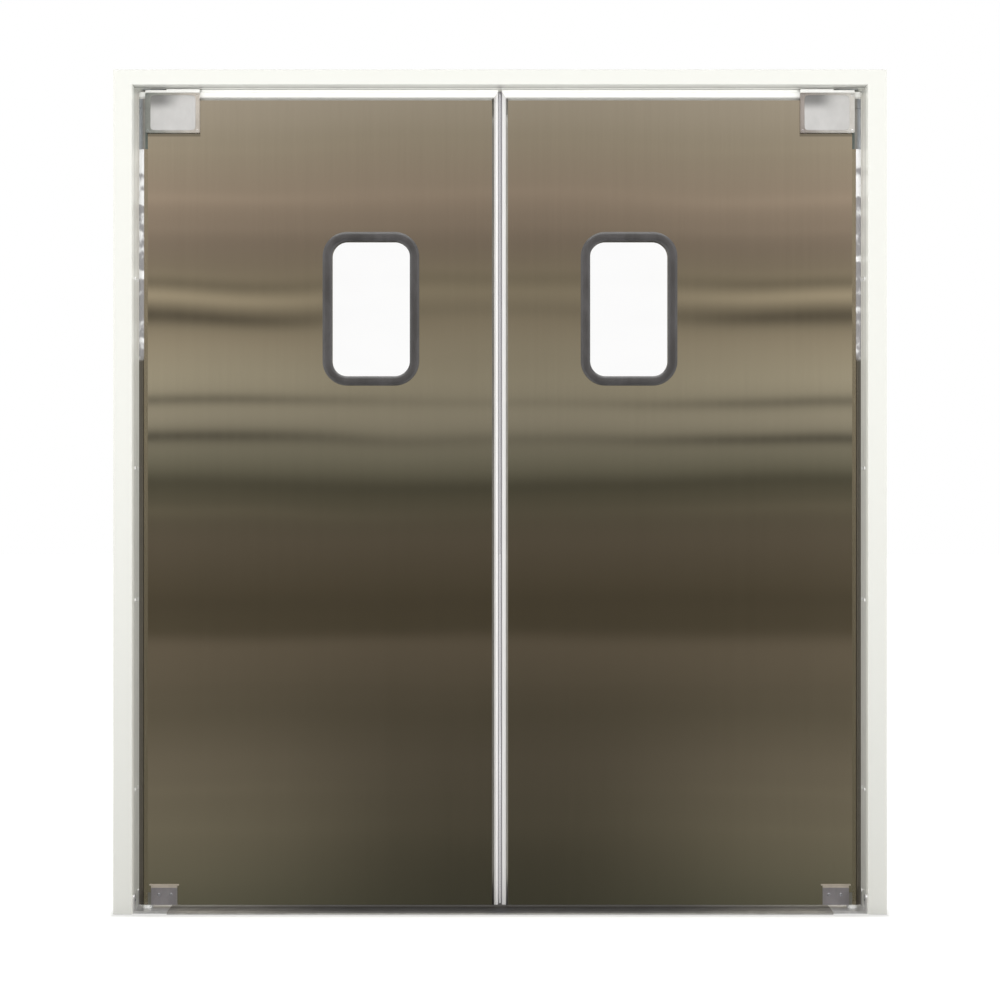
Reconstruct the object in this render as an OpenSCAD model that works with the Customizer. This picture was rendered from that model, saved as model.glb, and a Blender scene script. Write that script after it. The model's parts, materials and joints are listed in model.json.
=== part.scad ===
// Pair of double-acting stainless steel traffic doors in a folded steel frame.
// Millimetres. +X to the right, +Y away from the front, +Z up.
// The origin is on the floor, midway between the jambs and midway through the frame.

/* [Opening] */
// Clear width between the jambs
opening_w = 1829; // [1500:1:2400]
// Clear height from the floor to the header
opening_h = 2062; // [1900:1:2600]

/* [Frame] */
// Depth of the frame through the wall
frame_depth = 146; // [130:1:200]
// Width of a jamb's face
jamb_face = 48; // [44:1:70]
// Height of the header's face
header_face = 39; // [34:1:70]
// Thickness of the frame's sheet steel
frame_sheet = 2; // [1.2:0.1:3]
// Outside radius of the frame's bends
frame_bend = 4; // [3.2:0.1:8]
// Length of the returns that grip the wall
frame_return = 13; // [8:1:20]

/* [Anchors] */
// Height of the lowest wall anchor, and drop of the highest from the header
anchor_end = 300; // [150:10:450]
// Number of wall anchors in each jamb
anchor_count = 3; // [2:1:5]
// Height of one wall anchor
anchor_h = 40; // [30:1:60]
// Stand-off of a wall anchor from the jamb's sheet
anchor_reach = 12; // [8:1:20]
// Thickness of the anchors' and floor clips' strap
strap = 2; // [1.5:0.1:3]
// Distance between the two screw holes of an anchor
anchor_pitch = 70; // [50:1:80]
// Diameter of the screw holes of an anchor
anchor_hole = 6; // [4:0.5:8]
// Distance between the two bolt holes of a floor clip
clip_pitch = 80; // [50:1:90]
// Diameter of the bolt holes of a floor clip
clip_hole = 9; // [6:0.5:10]
// Height of a floor clip's upright leg
clip_rise = 50; // [30:1:80]
// Play of a floor clip inside the jamb
clip_play = 1; // [0.5:0.5:3]

/* [Threshold] */
// Thickness of the threshold
threshold_h = 6; // [5:0.5:6.5]
// Width of the slope along each edge of the threshold
threshold_slope = 14; // [8:1:20]
// Number of flutes in the threshold's top
flute_count = 13; // [5:1:15]
// Width of one flute
flute_w = 3; // [2:0.5:4]
// Depth of one flute
flute_depth = 1; // [0.5:0.25:1.5]

/* [Leaf] */
// Thickness of a leaf
leaf_t = 25; // [22:0.5:28]
// Thickness of a leaf's stainless skins
skin_t = 1; // [0.8:0.1:1.6]
// Gap between the jamb and the leaf's rounded hinge edge
jamb_gap = 6.5; // [5.5:0.5:10]
// Distance from the leaf's hinge edge to its pivot
pivot_inset = 22; // [20:0.5:23]
// Height of the leaf's bottom edge above the floor
floor_gap = 14; // [12:0.5:20]
// Gap between the top gasket and the header
head_gap = 5.5; // [5:0.5:10]
// Gap between the gaskets where the two leaves meet
meeting_gap = 9; // [5:0.5:12]
// Width of the round-nosed spine along the hinge edge
spine_w = 24; // [24:0.5:26]
// Wall thickness of the spine
spine_wall = 2.5; // [2:0.25:4]

/* [Edge channels and gaskets] */
// Depth of the channels let into a leaf's edges
channel_d = 14; // [12:0.5:20]
// Wall thickness of the channels
channel_wall = 2; // [1.5:0.25:3]
// Width of the slot that holds a gasket's foot
slot_w = 6; // [4:0.5:8]
// Height that the top gasket stands above the leaf
top_gasket_h = 19; // [18:0.5:26]
// Width that the meeting gasket stands out from the leaf
lead_gasket_w = 12; // [12:0.5:20]
// Thickness of the gasket bulbs, front to back
gasket_t = 20; // [16:0.5:22]
// Wall thickness of the gasket bulbs
gasket_wall = 2.5; // [2:0.25:3.5]
// Outside radius of the gasket bulbs' corners
bulb_r = 5; // [3.5:0.5:6]
// Width of a gasket's foot inside its channel
foot_w = 14.4; // [12:0.1:16]
// Thickness of a gasket's foot
foot_t = 4; // [3:0.5:6]
// Clearance of a gasket's foot in its channel
foot_play = 0.2; // [0.1:0.05:0.4]

/* [Window] */
// Width of the opening cut for the window
window_w = 215; // [180:1:300]
// Height of the opening cut for the window
window_h = 358; // [300:1:450]
// Distance from the middle of the doorway to the window's middle
window_x = 324; // [260:1:420]
// Height of the window's middle above the floor
window_z = 1510; // [1300:1:1600]
// Radius of the window's clear corners
window_r = 38; // [15:1:60]
// Width of the rubber surround's face
ring_w = 24; // [22:0.5:32]
// Width by which the surround laps onto the skin
ring_lap = 14; // [10:0.5:16]
// Height of the surround's rounded crown
ring_proud = 8; // [5:0.5:9]
// Fullness of the crown's section, from 0 for an ellipse to 0.4 for nearly a box
ring_fullness = 0.2; // [0:0.05:0.4]
// Thickness of the clear pane
pane_t = 6; // [4:0.5:8]
// Play of the surround in the window's opening
window_play = 0.4; // [0.2:0.1:1]
// Distance of the pane's edge inside the window's opening
pane_inset = 2; // [1:0.5:4]

/* [Top hinge] */
// Width of the hinge guard
guard_w = 136; // [110:1:160]
// Height of the hinge guard
guard_h = 100; // [80:1:130]
// Distance that the guard stands out from each face of the leaf
guard_proud = 10; // [6:0.5:10]
// Height that the guard rises above the leaf's top edge
guard_rise = 13; // [12:0.5:16]
// Distance that the guard reaches past the pivot, toward the jamb
guard_reach = 3; // [0:0.5:4]
// Thickness of the guard's sheet
guard_sheet = 1.5; // [1:0.1:2.5]
// Radius of the guard's corners
guard_r = 3; // [2.5:0.5:8]
// Height of the white cap that carries the top gasket over the knuckle
cap_h = 16.5; // [10:0.5:16.5]
// Height of the knuckle let into the leaf's top corner
knuckle_h = 127; // [115:1:150]
// Diameter of the top and bottom pivot pins
pin_d = 12; // [8:0.5:12]
// Radial clearance of the pins in their bearings
pin_play = 0.05; // [0.02:0.01:0.09]
// Diameter of the boss that carries the top pin
boss_d = 20; // [18:0.5:20]
// Radial clearance round the boss
boss_play = 0.3; // [0.2:0.1:0.6]
// Drop of the groove round the knuckle below the leaf's top edge
groove_drop = 26; // [15:1:40]
// Height and depth of that groove
groove = 1.5; // [1:0.25:3]
// Depth that the top pin reaches into the header
pin_engage = 18; // [12:1:24]
// Thickness of the flange of the header's bush
socket_plate = 3; // [2:0.5:4]
// Wall thickness of the header's bush
bush_wall = 5; // [3:0.5:6]
// Width of the flange round the bush
bush_rim = 4; // [2:0.5:5]
// Thickness of the bush's closed end over the pin
bush_end = 4; // [2:0.5:6]
// Length of the knuckle's tongue inside the leaf
tongue_l = 90; // [60:5:110]
// Height of the tongue
tongue_h = 50; // [30:2:60]
// Thickness of the tongue
tongue_t = 12; // [8:1:16]
// Height of the tongue above the knuckle's shoulder
tongue_rise = 12; // [8:1:20]
// Clearance round the tongue
tongue_play = 0.2; // [0.1:0.05:0.4]

/* [Bottom hinge] */
// Width of the shoe's cheeks on the leaf's faces
cheek_w = 66; // [60:1:90]
// Height of the shoe's cheeks
cheek_h = 52; // [48:1:70]
// Thickness of the shoe's cheeks
cheek_t = 3; // [2:0.5:4]
// Distance from the pivot to the cheeks' near side
cheek_start = 10.5; // [10:0.5:14]
// Depth of the ledge along the top of each cheek
ledge = 2; // [1:0.5:3]
// Distance that the ledge runs past the cheek at each end
ledge_over = 4; // [0:0.5:5]
// Height of that ledge
ledge_h = 3; // [2:0.5:6]
// Height of the shoe's bored block
shoe_block_h = 31; // [24:1:40]
// Clearance of the block inside the spine
block_play = 0.1; // [0.05:0.05:0.3]
// Thickness of the steel over the block's blind bore
bore_cover = 5; // [3:0.5:8]
// Thickness of the shoe's sole, and of the steel beside the bosses at both pivots
heavy = 4; // [3:0.5:5]
// Height of the floor pin's top below the end of its bore
pin_relief = 1; // [0.5:0.5:3]
// Width of the floor bracket along the doorway
bracket_w = 86; // [70:1:100]
// Depth of the floor bracket through the wall
bracket_d = 120; // [100:1:130]
// Width of each of the bracket's ears on the jamb
ear_w = 30; // [24:1:40]
// Height of the bracket's ears on the jamb
ear_h = 46; // [30:1:60]
// Thickness of the bracket's ears
ear_t = 4; // [3:0.5:5]
// Radius of the ears' top corners
ear_r = 10; // [4:1:12]
// Diameter of the nylon thrust washer under the shoe
washer_d = 28; // [22:1:34]
// Gap between the washer and the shoe
washer_play = 0.3; // [0.2:0.1:0.6]

/* [Hidden] */
$fn = 48;

EPS = 0.01;
CUT = 5;                // overshoot of a cutting shape past the surface that it cuts
CROWN_STEPS = 14;       // facets over the crown of the window's surround

// Doorway and frame
half_w = opening_w / 2;
frame_top = opening_h + header_face;
frame_half = half_w + jamb_face;
half_depth = frame_depth / 2;

// Leaf outline, on the left of the doorway
nose_x = -half_w + jamb_gap;
pivot_x = nose_x + pivot_inset;
spine_x = nose_x + spine_w;
lead_x = -meeting_gap / 2 - lead_gasket_w;
leaf_z0 = floor_gap;
leaf_z1 = opening_h - head_gap - top_gasket_h;
half_t = leaf_t / 2;
core_half_t = half_t - skin_t;

// Blocks at the two pivots
bush_r = pin_d / 2 + bush_wall;
block_x = pivot_x + boss_d / 2 + heavy;       // inner end of the knuckle's and shoe's blocks
knuckle_z0 = leaf_z1 - knuckle_h;
guard_x0 = pivot_x - guard_reach;
guard_x1 = guard_x0 + guard_w;
guard_z1 = leaf_z1 + guard_rise;
guard_z0 = guard_z1 - guard_h;
guard_half_t = half_t + guard_proud;
shoulder_z = guard_z0 + heavy;                // the knuckle widens here, behind the guard
block_z1 = leaf_z0 + shoe_block_h;
cheek_x0 = pivot_x + cheek_start;
cheek_x1 = cheek_x0 + cheek_w;
sole_z = leaf_z0 + heavy;
bearing_z1 = block_z1 - bore_cover;           // end of the shoe's blind bore

// Window
clear_w = window_w - 2 * (ring_w - ring_lap);
clear_h = window_h - 2 * (ring_w - ring_lap);
cutout_r = window_r + ring_w - ring_lap;

// Floor bracket
bracket_x1 = -half_w + bracket_w;
washer_top = leaf_z0 - washer_play;

// ---------- shared shapes ----------

// Rectangle from a low to a high corner with true round corners of radius r.
module round_rect(low, high, r) {
    w = high[0] - low[0];
    h = high[1] - low[1];
    translate([low[0] + r, low[1]]) square([w - 2 * r, h]);
    translate([low[0], low[1] + r]) square([w, h - 2 * r]);
    for (x = [low[0] + r, high[0] - r], y = [low[1] + r, high[1] - r])
        translate([x, y]) circle(r = r);
}

// Box given by its low and high corners.
module block(low, high) {
    translate(low) cube(high - low);
}

// Upright plane shape, drawn in X and Z, made thick from y0 to y1.
module upright(y0, y1) {
    translate([0, y1, 0]) rotate([90, 0, 0]) linear_extrude(y1 - y0) children();
}

// Turns a left-hand piece into the right-hand one.
module opposite() {
    mirror([1, 0, 0]) children();
}

// ---------- frame ----------

// Folded section of the frame: u runs from the reveal into the wall, v through the wall.
module frame_section(face) {
    inner_bend = frame_bend - frame_sheet;
    difference() {
        round_rect([0, -half_depth], [face, half_depth], frame_bend);
        round_rect([frame_sheet, frame_sheet - half_depth],
                   [face - frame_sheet, half_depth - frame_sheet], inner_bend);
        translate([frame_sheet + frame_bend, frame_return - half_depth])
            square([face, frame_depth - 2 * frame_return]);
    }
}

// Everything on the header's side of the mitres, seen from the front.
module header_side() {
    rise = 2 * header_face;
    run = rise * jamb_face / header_face;
    polygon([[-half_w, opening_h], [half_w, opening_h],
             [half_w + run, opening_h + rise], [-half_w - run, opening_h + rise]]);
}

module jamb() {
    color("ghostwhite") difference() {
        translate([-half_w, 0, 0]) mirror([1, 0, 0])
            linear_extrude(frame_top) frame_section(jamb_face);
        upright(-half_depth - CUT, half_depth + CUT) header_side();
    }
}

module header() {
    color("ghostwhite") difference() {
        intersection() {
            translate([-frame_half, 0, opening_h]) rotate([90, 0, 90])
                linear_extrude(2 * frame_half) rotate(90) mirror([0, 1]) frame_section(header_face);
            upright(-half_depth - CUT, half_depth + CUT) header_side();
        }
        for (side = [-1, 1])
            translate([side * pivot_x, 0, opening_h - CUT])
                cylinder(r = bush_r, h = header_face);
    }
}

// Straps welded across the inside of a jamb, each with two holes for wall screws.
module wall_anchors() {
    anchor_x = -half_w - frame_sheet - anchor_reach;
    inside = half_depth - frame_sheet;
    spacing = (opening_h - 2 * anchor_end) / (anchor_count - 1);
    color("silver")
    for (i = [0 : anchor_count - 1]) {
        z0 = anchor_end + i * spacing - anchor_h / 2;
        difference() {
            block([anchor_x - strap, -inside, z0], [-half_w - frame_bend, inside, z0 + anchor_h]);
            block([anchor_x, strap - inside, z0 - CUT],
                  [-half_w, inside - strap, z0 + anchor_h + CUT]);
            for (y = [-1, 1] * anchor_pitch / 2)
                translate([anchor_x - strap - CUT, y, z0 + anchor_h / 2]) rotate([0, 90, 0])
                    cylinder(d = anchor_hole, h = strap + 2 * CUT);
        }
    }
}

// Angle at the foot of a jamb, bolted to the floor.
module floor_clip() {
    inside = half_depth - frame_sheet;
    x0 = -frame_half + frame_sheet + clip_play;
    x1 = -half_w - frame_sheet;
    color("silver") difference() {
        block([x0, frame_return + clip_play - half_depth, 0],
              [x1, half_depth - frame_return - clip_play, clip_rise]);
        block([x0 - CUT, -half_depth, strap], [x1 - strap, half_depth, clip_rise + CUT]);
        for (y = [-1, 1] * clip_pitch / 2)
            translate([(x0 + x1 - strap) / 2, y, -CUT]) cylinder(d = clip_hole, h = strap + 2 * CUT);
    }
}

// Fluted saddle between the two floor brackets.
module threshold() {
    flat = frame_depth - 2 * threshold_slope;
    pitch = flat / (flute_count + 1);
    edge = threshold_h / 3;
    color("dimgray")
    translate([bracket_x1, 0, 0]) rotate([90, 0, 90]) linear_extrude(-2 * bracket_x1)
    difference() {
        polygon([[-half_depth, 0], [half_depth, 0], [half_depth, edge], [flat / 2, threshold_h],
                 [-flat / 2, threshold_h], [-half_depth, edge]]);
        for (i = [1 : flute_count])
            translate([i * pitch - flat / 2 - flute_w / 2, threshold_h - flute_depth])
                square([flute_w, flute_depth + CUT]);
    }
}

// Flanged bush under the header that the top pin turns in.
module header_socket() {
    plate_l = 3 * bush_r;
    translate([pivot_x, 0, opening_h - socket_plate]) color("silver") difference() {
        union() {
            linear_extrude(socket_plate) {
                translate([0, -bush_r]) square([plate_l, 2 * bush_r]);
                circle(r = bush_r + bush_rim);
                translate([plate_l, 0]) circle(r = bush_r);
            }
            cylinder(r = bush_r, h = socket_plate + pin_engage + bush_end);
        }
        translate([0, 0, -CUT]) cylinder(r = pin_d / 2 + pin_play, h = header_face + CUT);
    }
}

// Plate on the floor with two ears on the jamb and the pin that the leaf stands on.
module floor_bracket() {
    color("gainsboro") {
        linear_extrude(threshold_h)
            translate([-half_w, -bracket_d / 2]) square([bracket_w, bracket_d]);
        for (y = [-bracket_d / 2, bracket_d / 2 - ear_w])
            translate([-half_w, y, 0]) rotate([90, 0, 90]) linear_extrude(ear_t) {
                square([ear_w, ear_h - ear_r]);
                translate([ear_r, 0]) square([ear_w - 2 * ear_r, ear_h]);
                for (x = [ear_r, ear_w - ear_r]) translate([x, ear_h - ear_r]) circle(r = ear_r);
            }
        translate([pivot_x, 0, 0]) cylinder(d = pin_d, h = bearing_z1 - pin_relief);
    }
}

module thrust_washer() {
    color("white") translate([pivot_x, 0, threshold_h]) difference() {
        cylinder(d = washer_d, h = washer_top - threshold_h);
        translate([0, 0, -CUT]) cylinder(r = pin_d / 2 + pin_play, h = washer_top + 2 * CUT);
    }
}

// ---------- leaf ----------

// Plan of the leaf's round-nosed hinge edge, from the nose to x1, taken in by inset all round.
module nose_plan(x1, inset = 0) {
    r = half_t - inset;
    bend_x = nose_x + half_t;
    difference() {
        translate([bend_x, 0]) circle(r = r);
        translate([bend_x, -half_t]) square([leaf_t, leaf_t]);
    }
    translate([bend_x, -r]) square([x1 - inset - bend_x, 2 * r]);
}

// Outline of the window's opening with its corners, grown by play (or taken in, if negative).
module window_outline(play = 0) {
    size = [window_w / 2 + play, window_h / 2 + play];
    translate([-window_x, window_z]) round_rect(-size, size, cutout_r + play);
}

// Outline of the leaf's sandwich, less what the knuckle and the shoe take up.
module sandwich_outline(top, bottom) {
    difference() {
        translate([spine_x, bottom]) square([lead_x - spine_x, top - bottom]);
        translate([spine_x - CUT, shoulder_z]) square([block_x - spine_x + CUT, leaf_z1]);
        translate([spine_x - CUT, 0]) square([block_x - spine_x + CUT, block_z1]);
        translate([spine_x - CUT, 0]) square([cheek_x1 - spine_x + CUT, sole_z]);
    }
}

module skin(face) {
    y = face < 0 ? [-half_t, -core_half_t] : [core_half_t, half_t];
    color("darkgray") upright(y[0], y[1]) difference() {
        sandwich_outline(leaf_z1, leaf_z0);
        window_outline();
    }
}

module core() {
    color("burlywood") difference() {
        upright(-core_half_t, core_half_t) difference() {
            sandwich_outline(leaf_z1 - channel_d, sole_z);
            translate([cheek_x1, 0]) square([-cheek_x1, leaf_z0 + channel_d]);
            translate([lead_x - channel_d, 0]) square([2 * channel_d, leaf_z1]);
            window_outline();
        }
        tongue(tongue_play);
    }
}

module tongue(play = 0) {
    z0 = shoulder_z + tongue_rise;
    block([block_x - EPS, -tongue_t / 2 - play, z0 - play],
          [block_x + tongue_l + play, tongue_t / 2 + play, z0 + tongue_h + play]);
}

// Tube along the hinge edge, open at its foot where the shoe's block goes in.
module spine() {
    color("lightgray") {
        translate([0, 0, block_z1]) linear_extrude(knuckle_z0 - block_z1) difference() {
            nose_plan(spine_x);
            nose_plan(spine_x, spine_wall);
        }
        translate([0, 0, leaf_z0]) linear_extrude(shoe_block_h) difference() {
            nose_plan(spine_x);
            nose_plan(spine_x + spine_wall + CUT, spine_wall);
        }
    }
}

// Section of an edge channel: the slot for the gasket faces +v at v = 0.
module channel_section(slot) {
    difference() {
        translate([-core_half_t, -channel_d]) square([2 * core_half_t, channel_d]);
        translate([channel_wall - core_half_t, channel_wall - channel_d])
            square([2 * (core_half_t - channel_wall), channel_d - 2 * channel_wall]);
        translate([-slot / 2, -channel_wall - EPS]) square([slot, channel_wall + CUT]);
    }
}

// Section of a gasket: a hollow bulb that stands out by reach, on a foot that fits the channel.
module gasket_section(reach) {
    difference() {
        union() {
            translate([-gasket_t / 2, 0]) square([gasket_t, reach - bulb_r]);
            round_rect([-gasket_t / 2, 0], [gasket_t / 2, reach], bulb_r);
        }
        round_rect([gasket_wall - gasket_t / 2, gasket_wall],
                   [gasket_t / 2 - gasket_wall, reach - gasket_wall], bulb_r - gasket_wall);
    }
    translate([foot_play - slot_w / 2, -channel_wall - foot_play - foot_t])
        square([slot_w - 2 * foot_play, channel_wall + foot_play + foot_t + EPS]);
    translate([-foot_w / 2, -channel_wall - foot_play - foot_t]) square([foot_w, foot_t]);
}

// Runs a section along the leaf's top edge from x0 to x1: v of the section points up.
module along_top(x0, x1) {
    translate([x0, 0, leaf_z1]) rotate([90, 0, 90]) linear_extrude(x1 - x0) children();
}

// Runs a section up the meeting edge from z0 to z1: v of the section points out of the leaf.
module up_meeting_edge(z0, z1) {
    translate([lead_x, 0, z0]) linear_extrude(z1 - z0) rotate(-90) children();
}

module meeting_channel() {
    color("silver") up_meeting_edge(leaf_z0, leaf_z1) channel_section(slot_w);
}

module top_channel() {
    color("silver") along_top(block_x, lead_x - channel_d) channel_section(slot_w);
}

module bottom_channel() {
    x0 = cheek_x1;
    x1 = lead_x - channel_d;
    color("silver") translate([x0, 0, leaf_z0]) rotate([90, 0, 90]) linear_extrude(x1 - x0)
        mirror([0, 1]) channel_section(2 * (core_half_t - channel_wall));
}

// The half of the leaf's top corner that belongs to the meeting gasket, seen from the front.
module mitre_side() {
    reach = 3;
    polygon([[lead_x, leaf_z1], [lead_x + reach * lead_gasket_w, leaf_z1 + reach * top_gasket_h],
             [lead_x + reach * lead_gasket_w, -CUT], [lead_x, -CUT]]);
}

module meeting_gasket() {
    color("white") {
        intersection() {
            up_meeting_edge(leaf_z0, leaf_z1 + top_gasket_h) gasket_section(lead_gasket_w);
            union() {
                upright(-half_t, half_t) mitre_side();
                block([lead_x - channel_d, -half_t, 0], [lead_x, half_t, leaf_z1]);
            }
        }
    }
}

// The gasket along the leaf's top, and its cap round the boss over the knuckle.
module top_gasket() {
    color("white") {
        difference() {
            along_top(guard_x1, lead_x + lead_gasket_w) gasket_section(top_gasket_h);
            upright(-half_t, half_t) mitre_side();
            block([lead_x - channel_d, -half_t, 0], [0, half_t, leaf_z1]);
        }
        translate([0, 0, leaf_z1]) linear_extrude(cap_h) difference() {
            nose_plan(guard_x0 - boss_play);
            translate([pivot_x, 0]) circle(r = boss_d / 2 + boss_play);
        }
    }
}

// Section of the window surround: u from the clear opening outwards, v out of the leaf's face.
module ring_section() {
    half = ring_w / 2;
    sleeve = ring_w - ring_lap - window_play;
    depth = half_t - pane_t / 2;
    crown = [for (i = [0 : CROWN_STEPS]) let (a = 180 * i / CROWN_STEPS)
        [half + half * cos(a) * pow(abs(cos(a)) + EPS, -ring_fullness),
         ring_proud * pow(abs(sin(a)), 1 - ring_fullness)]];
    polygon(concat(crown, [[0, -depth], [sleeve, -depth], [sleeve, 0]]));
}

// Carries a section round the window's clear opening, in the plane of the leaf.
module round_window() {
    x = clear_w / 2;
    y = clear_h / 2;
    ends = [[x - window_r, y - window_r], [window_r - x, y - window_r],
            [window_r - x, window_r - y], [x - window_r, window_r - y]];
    for (i = [0 : 3]) {
        run = (i % 2 == 0) ? 2 * (x - window_r) : 2 * (y - window_r);
        translate(ends[i]) rotate(90 * i) {
            rotate_extrude(angle = 90) translate([window_r, 0]) children();
            rotate([90, 0, -90]) mirror([1, 0, 0]) linear_extrude(run)
                translate([window_r, 0]) children();
        }
    }
}

module window_ring(face) {
    color("dimgray") translate([-window_x, 0, window_z])
        mirror([0, face < 0 ? 0 : 1, 0]) translate([0, -half_t, 0]) rotate([90, 0, 0])
            round_window() ring_section();
}

module window_pane() {
    color("lightcyan", 0.4) upright(-pane_t / 2, pane_t / 2) window_outline(-pane_inset);
}

// Sheet cover that sits over the leaf's top corner and hides the self-closing hinge.
module hinge_guard() {
    low = [guard_x0, -guard_half_t, guard_z0];
    high = [guard_x1, guard_half_t, guard_z1];
    inset = [guard_sheet, guard_sheet];
    color("silver") difference() {
        upright(-guard_half_t, guard_half_t)
            round_rect([low[0], low[2]], [high[0], high[2]], guard_r);
        upright(guard_sheet - guard_half_t, guard_half_t - guard_sheet)
            round_rect([low[0], low[2]] + inset, [high[0], high[2]] - inset, guard_r - guard_sheet);
        block([guard_x0 - CUT, -half_t, guard_z0 - CUT], [guard_x1 + CUT, half_t, leaf_z1]);
        translate([pivot_x, 0, leaf_z1 - CUT])
            cylinder(r = boss_d / 2 + boss_play, h = guard_rise + 2 * CUT);
    }
}

module hinge_knuckle() {
    color("slategray") {
        difference() {
            union() {
                translate([0, 0, knuckle_z0]) linear_extrude(shoulder_z - knuckle_z0) nose_plan(spine_x);
                translate([0, 0, shoulder_z]) linear_extrude(leaf_z1 - shoulder_z) nose_plan(block_x);
            }
            translate([0, 0, leaf_z1 - groove_drop]) linear_extrude(groove) difference() {
                nose_plan(guard_x0 + groove, -groove);
                nose_plan(guard_x0 + 2 * groove, groove);
            }
        }
        translate([pivot_x, 0, leaf_z1 - EPS]) cylinder(d = boss_d, h = guard_rise + EPS);
        translate([pivot_x, 0, leaf_z1]) cylinder(d = pin_d, h = opening_h + pin_engage - leaf_z1);
        tongue();
    }
}

// Steel shoe under the leaf's bottom corner, bored for the floor pin.
module bottom_shoe() {
    inset = spine_wall + block_play;
    color("gray") difference() {
        union() {
            translate([0, 0, leaf_z0]) linear_extrude(shoe_block_h) {
                nose_plan(spine_x + block_play + inset, inset);
                translate([spine_x + block_play, -half_t])
                    square([block_x - spine_x - block_play, leaf_t]);
            }
            block([block_x - EPS, -half_t, leaf_z0], [cheek_x1, half_t, sole_z]);
            for (face = [-1, 1]) mirror([0, face < 0 ? 0 : 1, 0]) {
                block([cheek_x0, -half_t - cheek_t, leaf_z0], [cheek_x1, -half_t, leaf_z0 + cheek_h]);
                block([cheek_x0 - ledge_over, -half_t - cheek_t - ledge, leaf_z0 + cheek_h - ledge_h],
                      [cheek_x1 + ledge_over, -half_t, leaf_z0 + cheek_h]);
            }
        }
        translate([pivot_x, 0, leaf_z0 - CUT])
            cylinder(r = pin_d / 2 + pin_play, h = bearing_z1 - leaf_z0 + CUT);
    }
}

// ---------- the parts, the left-hand ones and their mirror images ----------

jamb();  // left_jamb
opposite() jamb();  // right_jamb
header();
threshold();
wall_anchors();  // left_wall_anchors
opposite() wall_anchors();  // right_wall_anchors
floor_clip();  // left_floor_clip
opposite() floor_clip();  // right_floor_clip
header_socket();  // left_header_socket
opposite() header_socket();  // right_header_socket
floor_bracket();  // left_floor_bracket
opposite() floor_bracket();  // right_floor_bracket
thrust_washer();  // left_thrust_washer
opposite() thrust_washer();  // right_thrust_washer
core();  // left_core
skin(-1);  // left_front_skin
skin(1);  // left_back_skin
spine();  // left_spine
meeting_channel();  // left_meeting_channel
top_channel();  // left_top_channel
bottom_channel();  // left_bottom_channel
meeting_gasket();  // left_meeting_gasket
top_gasket();  // left_top_gasket
window_ring(-1);  // left_window_ring_front
window_ring(1);  // left_window_ring_back
window_pane();  // left_window_pane
hinge_guard();  // left_hinge_guard
hinge_knuckle();  // left_hinge_knuckle
bottom_shoe();  // left_bottom_shoe
opposite() core();  // right_core
opposite() skin(-1);  // right_front_skin
opposite() skin(1);  // right_back_skin
opposite() spine();  // right_spine
opposite() meeting_channel();  // right_meeting_channel
opposite() top_channel();  // right_top_channel
opposite() bottom_channel();  // right_bottom_channel
opposite() meeting_gasket();  // right_meeting_gasket
opposite() top_gasket();  // right_top_gasket
opposite() window_ring(-1);  // right_window_ring_front
opposite() window_ring(1);  // right_window_ring_back
opposite() window_pane();  // right_window_pane
opposite() hinge_guard();  // right_hinge_guard
opposite() hinge_knuckle();  // right_hinge_knuckle
opposite() bottom_shoe();  // right_bottom_shoe
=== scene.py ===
"""Dresses a pair of double-acting stainless steel traffic doors and lights them in a plain studio.

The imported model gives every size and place. Finishes are procedural, and the small pieces that
the model leaves out, such as rivets, screws and plates, are surfaces worked out with numpy.
"""

import json
import logging
import math
from dataclasses import dataclass, replace
from enum import Enum
from typing import ClassVar, Union

import bmesh
import bpy
import numpy as np
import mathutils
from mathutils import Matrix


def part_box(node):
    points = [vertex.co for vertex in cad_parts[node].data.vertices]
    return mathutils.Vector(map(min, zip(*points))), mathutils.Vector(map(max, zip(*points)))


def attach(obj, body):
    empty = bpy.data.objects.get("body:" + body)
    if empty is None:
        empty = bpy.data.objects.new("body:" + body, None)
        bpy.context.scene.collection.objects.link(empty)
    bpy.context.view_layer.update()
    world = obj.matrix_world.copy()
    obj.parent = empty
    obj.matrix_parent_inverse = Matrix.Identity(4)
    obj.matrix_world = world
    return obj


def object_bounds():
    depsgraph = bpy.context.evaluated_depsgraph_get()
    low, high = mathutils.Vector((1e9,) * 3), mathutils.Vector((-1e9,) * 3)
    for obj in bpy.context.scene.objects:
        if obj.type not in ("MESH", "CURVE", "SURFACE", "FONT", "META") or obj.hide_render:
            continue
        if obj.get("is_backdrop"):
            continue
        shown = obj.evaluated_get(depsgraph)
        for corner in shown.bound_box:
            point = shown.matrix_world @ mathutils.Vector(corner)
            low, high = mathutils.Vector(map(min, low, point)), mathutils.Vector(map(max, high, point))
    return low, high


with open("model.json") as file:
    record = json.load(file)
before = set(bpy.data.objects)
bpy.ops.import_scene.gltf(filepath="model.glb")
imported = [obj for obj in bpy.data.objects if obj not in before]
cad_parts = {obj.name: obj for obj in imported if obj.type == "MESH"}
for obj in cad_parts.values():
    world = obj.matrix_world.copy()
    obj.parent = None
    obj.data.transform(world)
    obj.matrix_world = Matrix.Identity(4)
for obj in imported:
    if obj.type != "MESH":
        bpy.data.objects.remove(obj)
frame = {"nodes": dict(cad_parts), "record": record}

LOG = logging.getLogger("doors")
MM = 0.001

Colour = tuple[float, float, float]
Vector = tuple[float, float, float]
Bands = tuple[tuple[float, Colour], ...]
Number = Union[float, "Value"]
Tint = Union[Colour, bpy.types.NodeSocket]

ACROSS: Vector = (1.0, 0.0, 0.0)
UP: Vector = (0.0, 0.0, 1.0)


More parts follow.
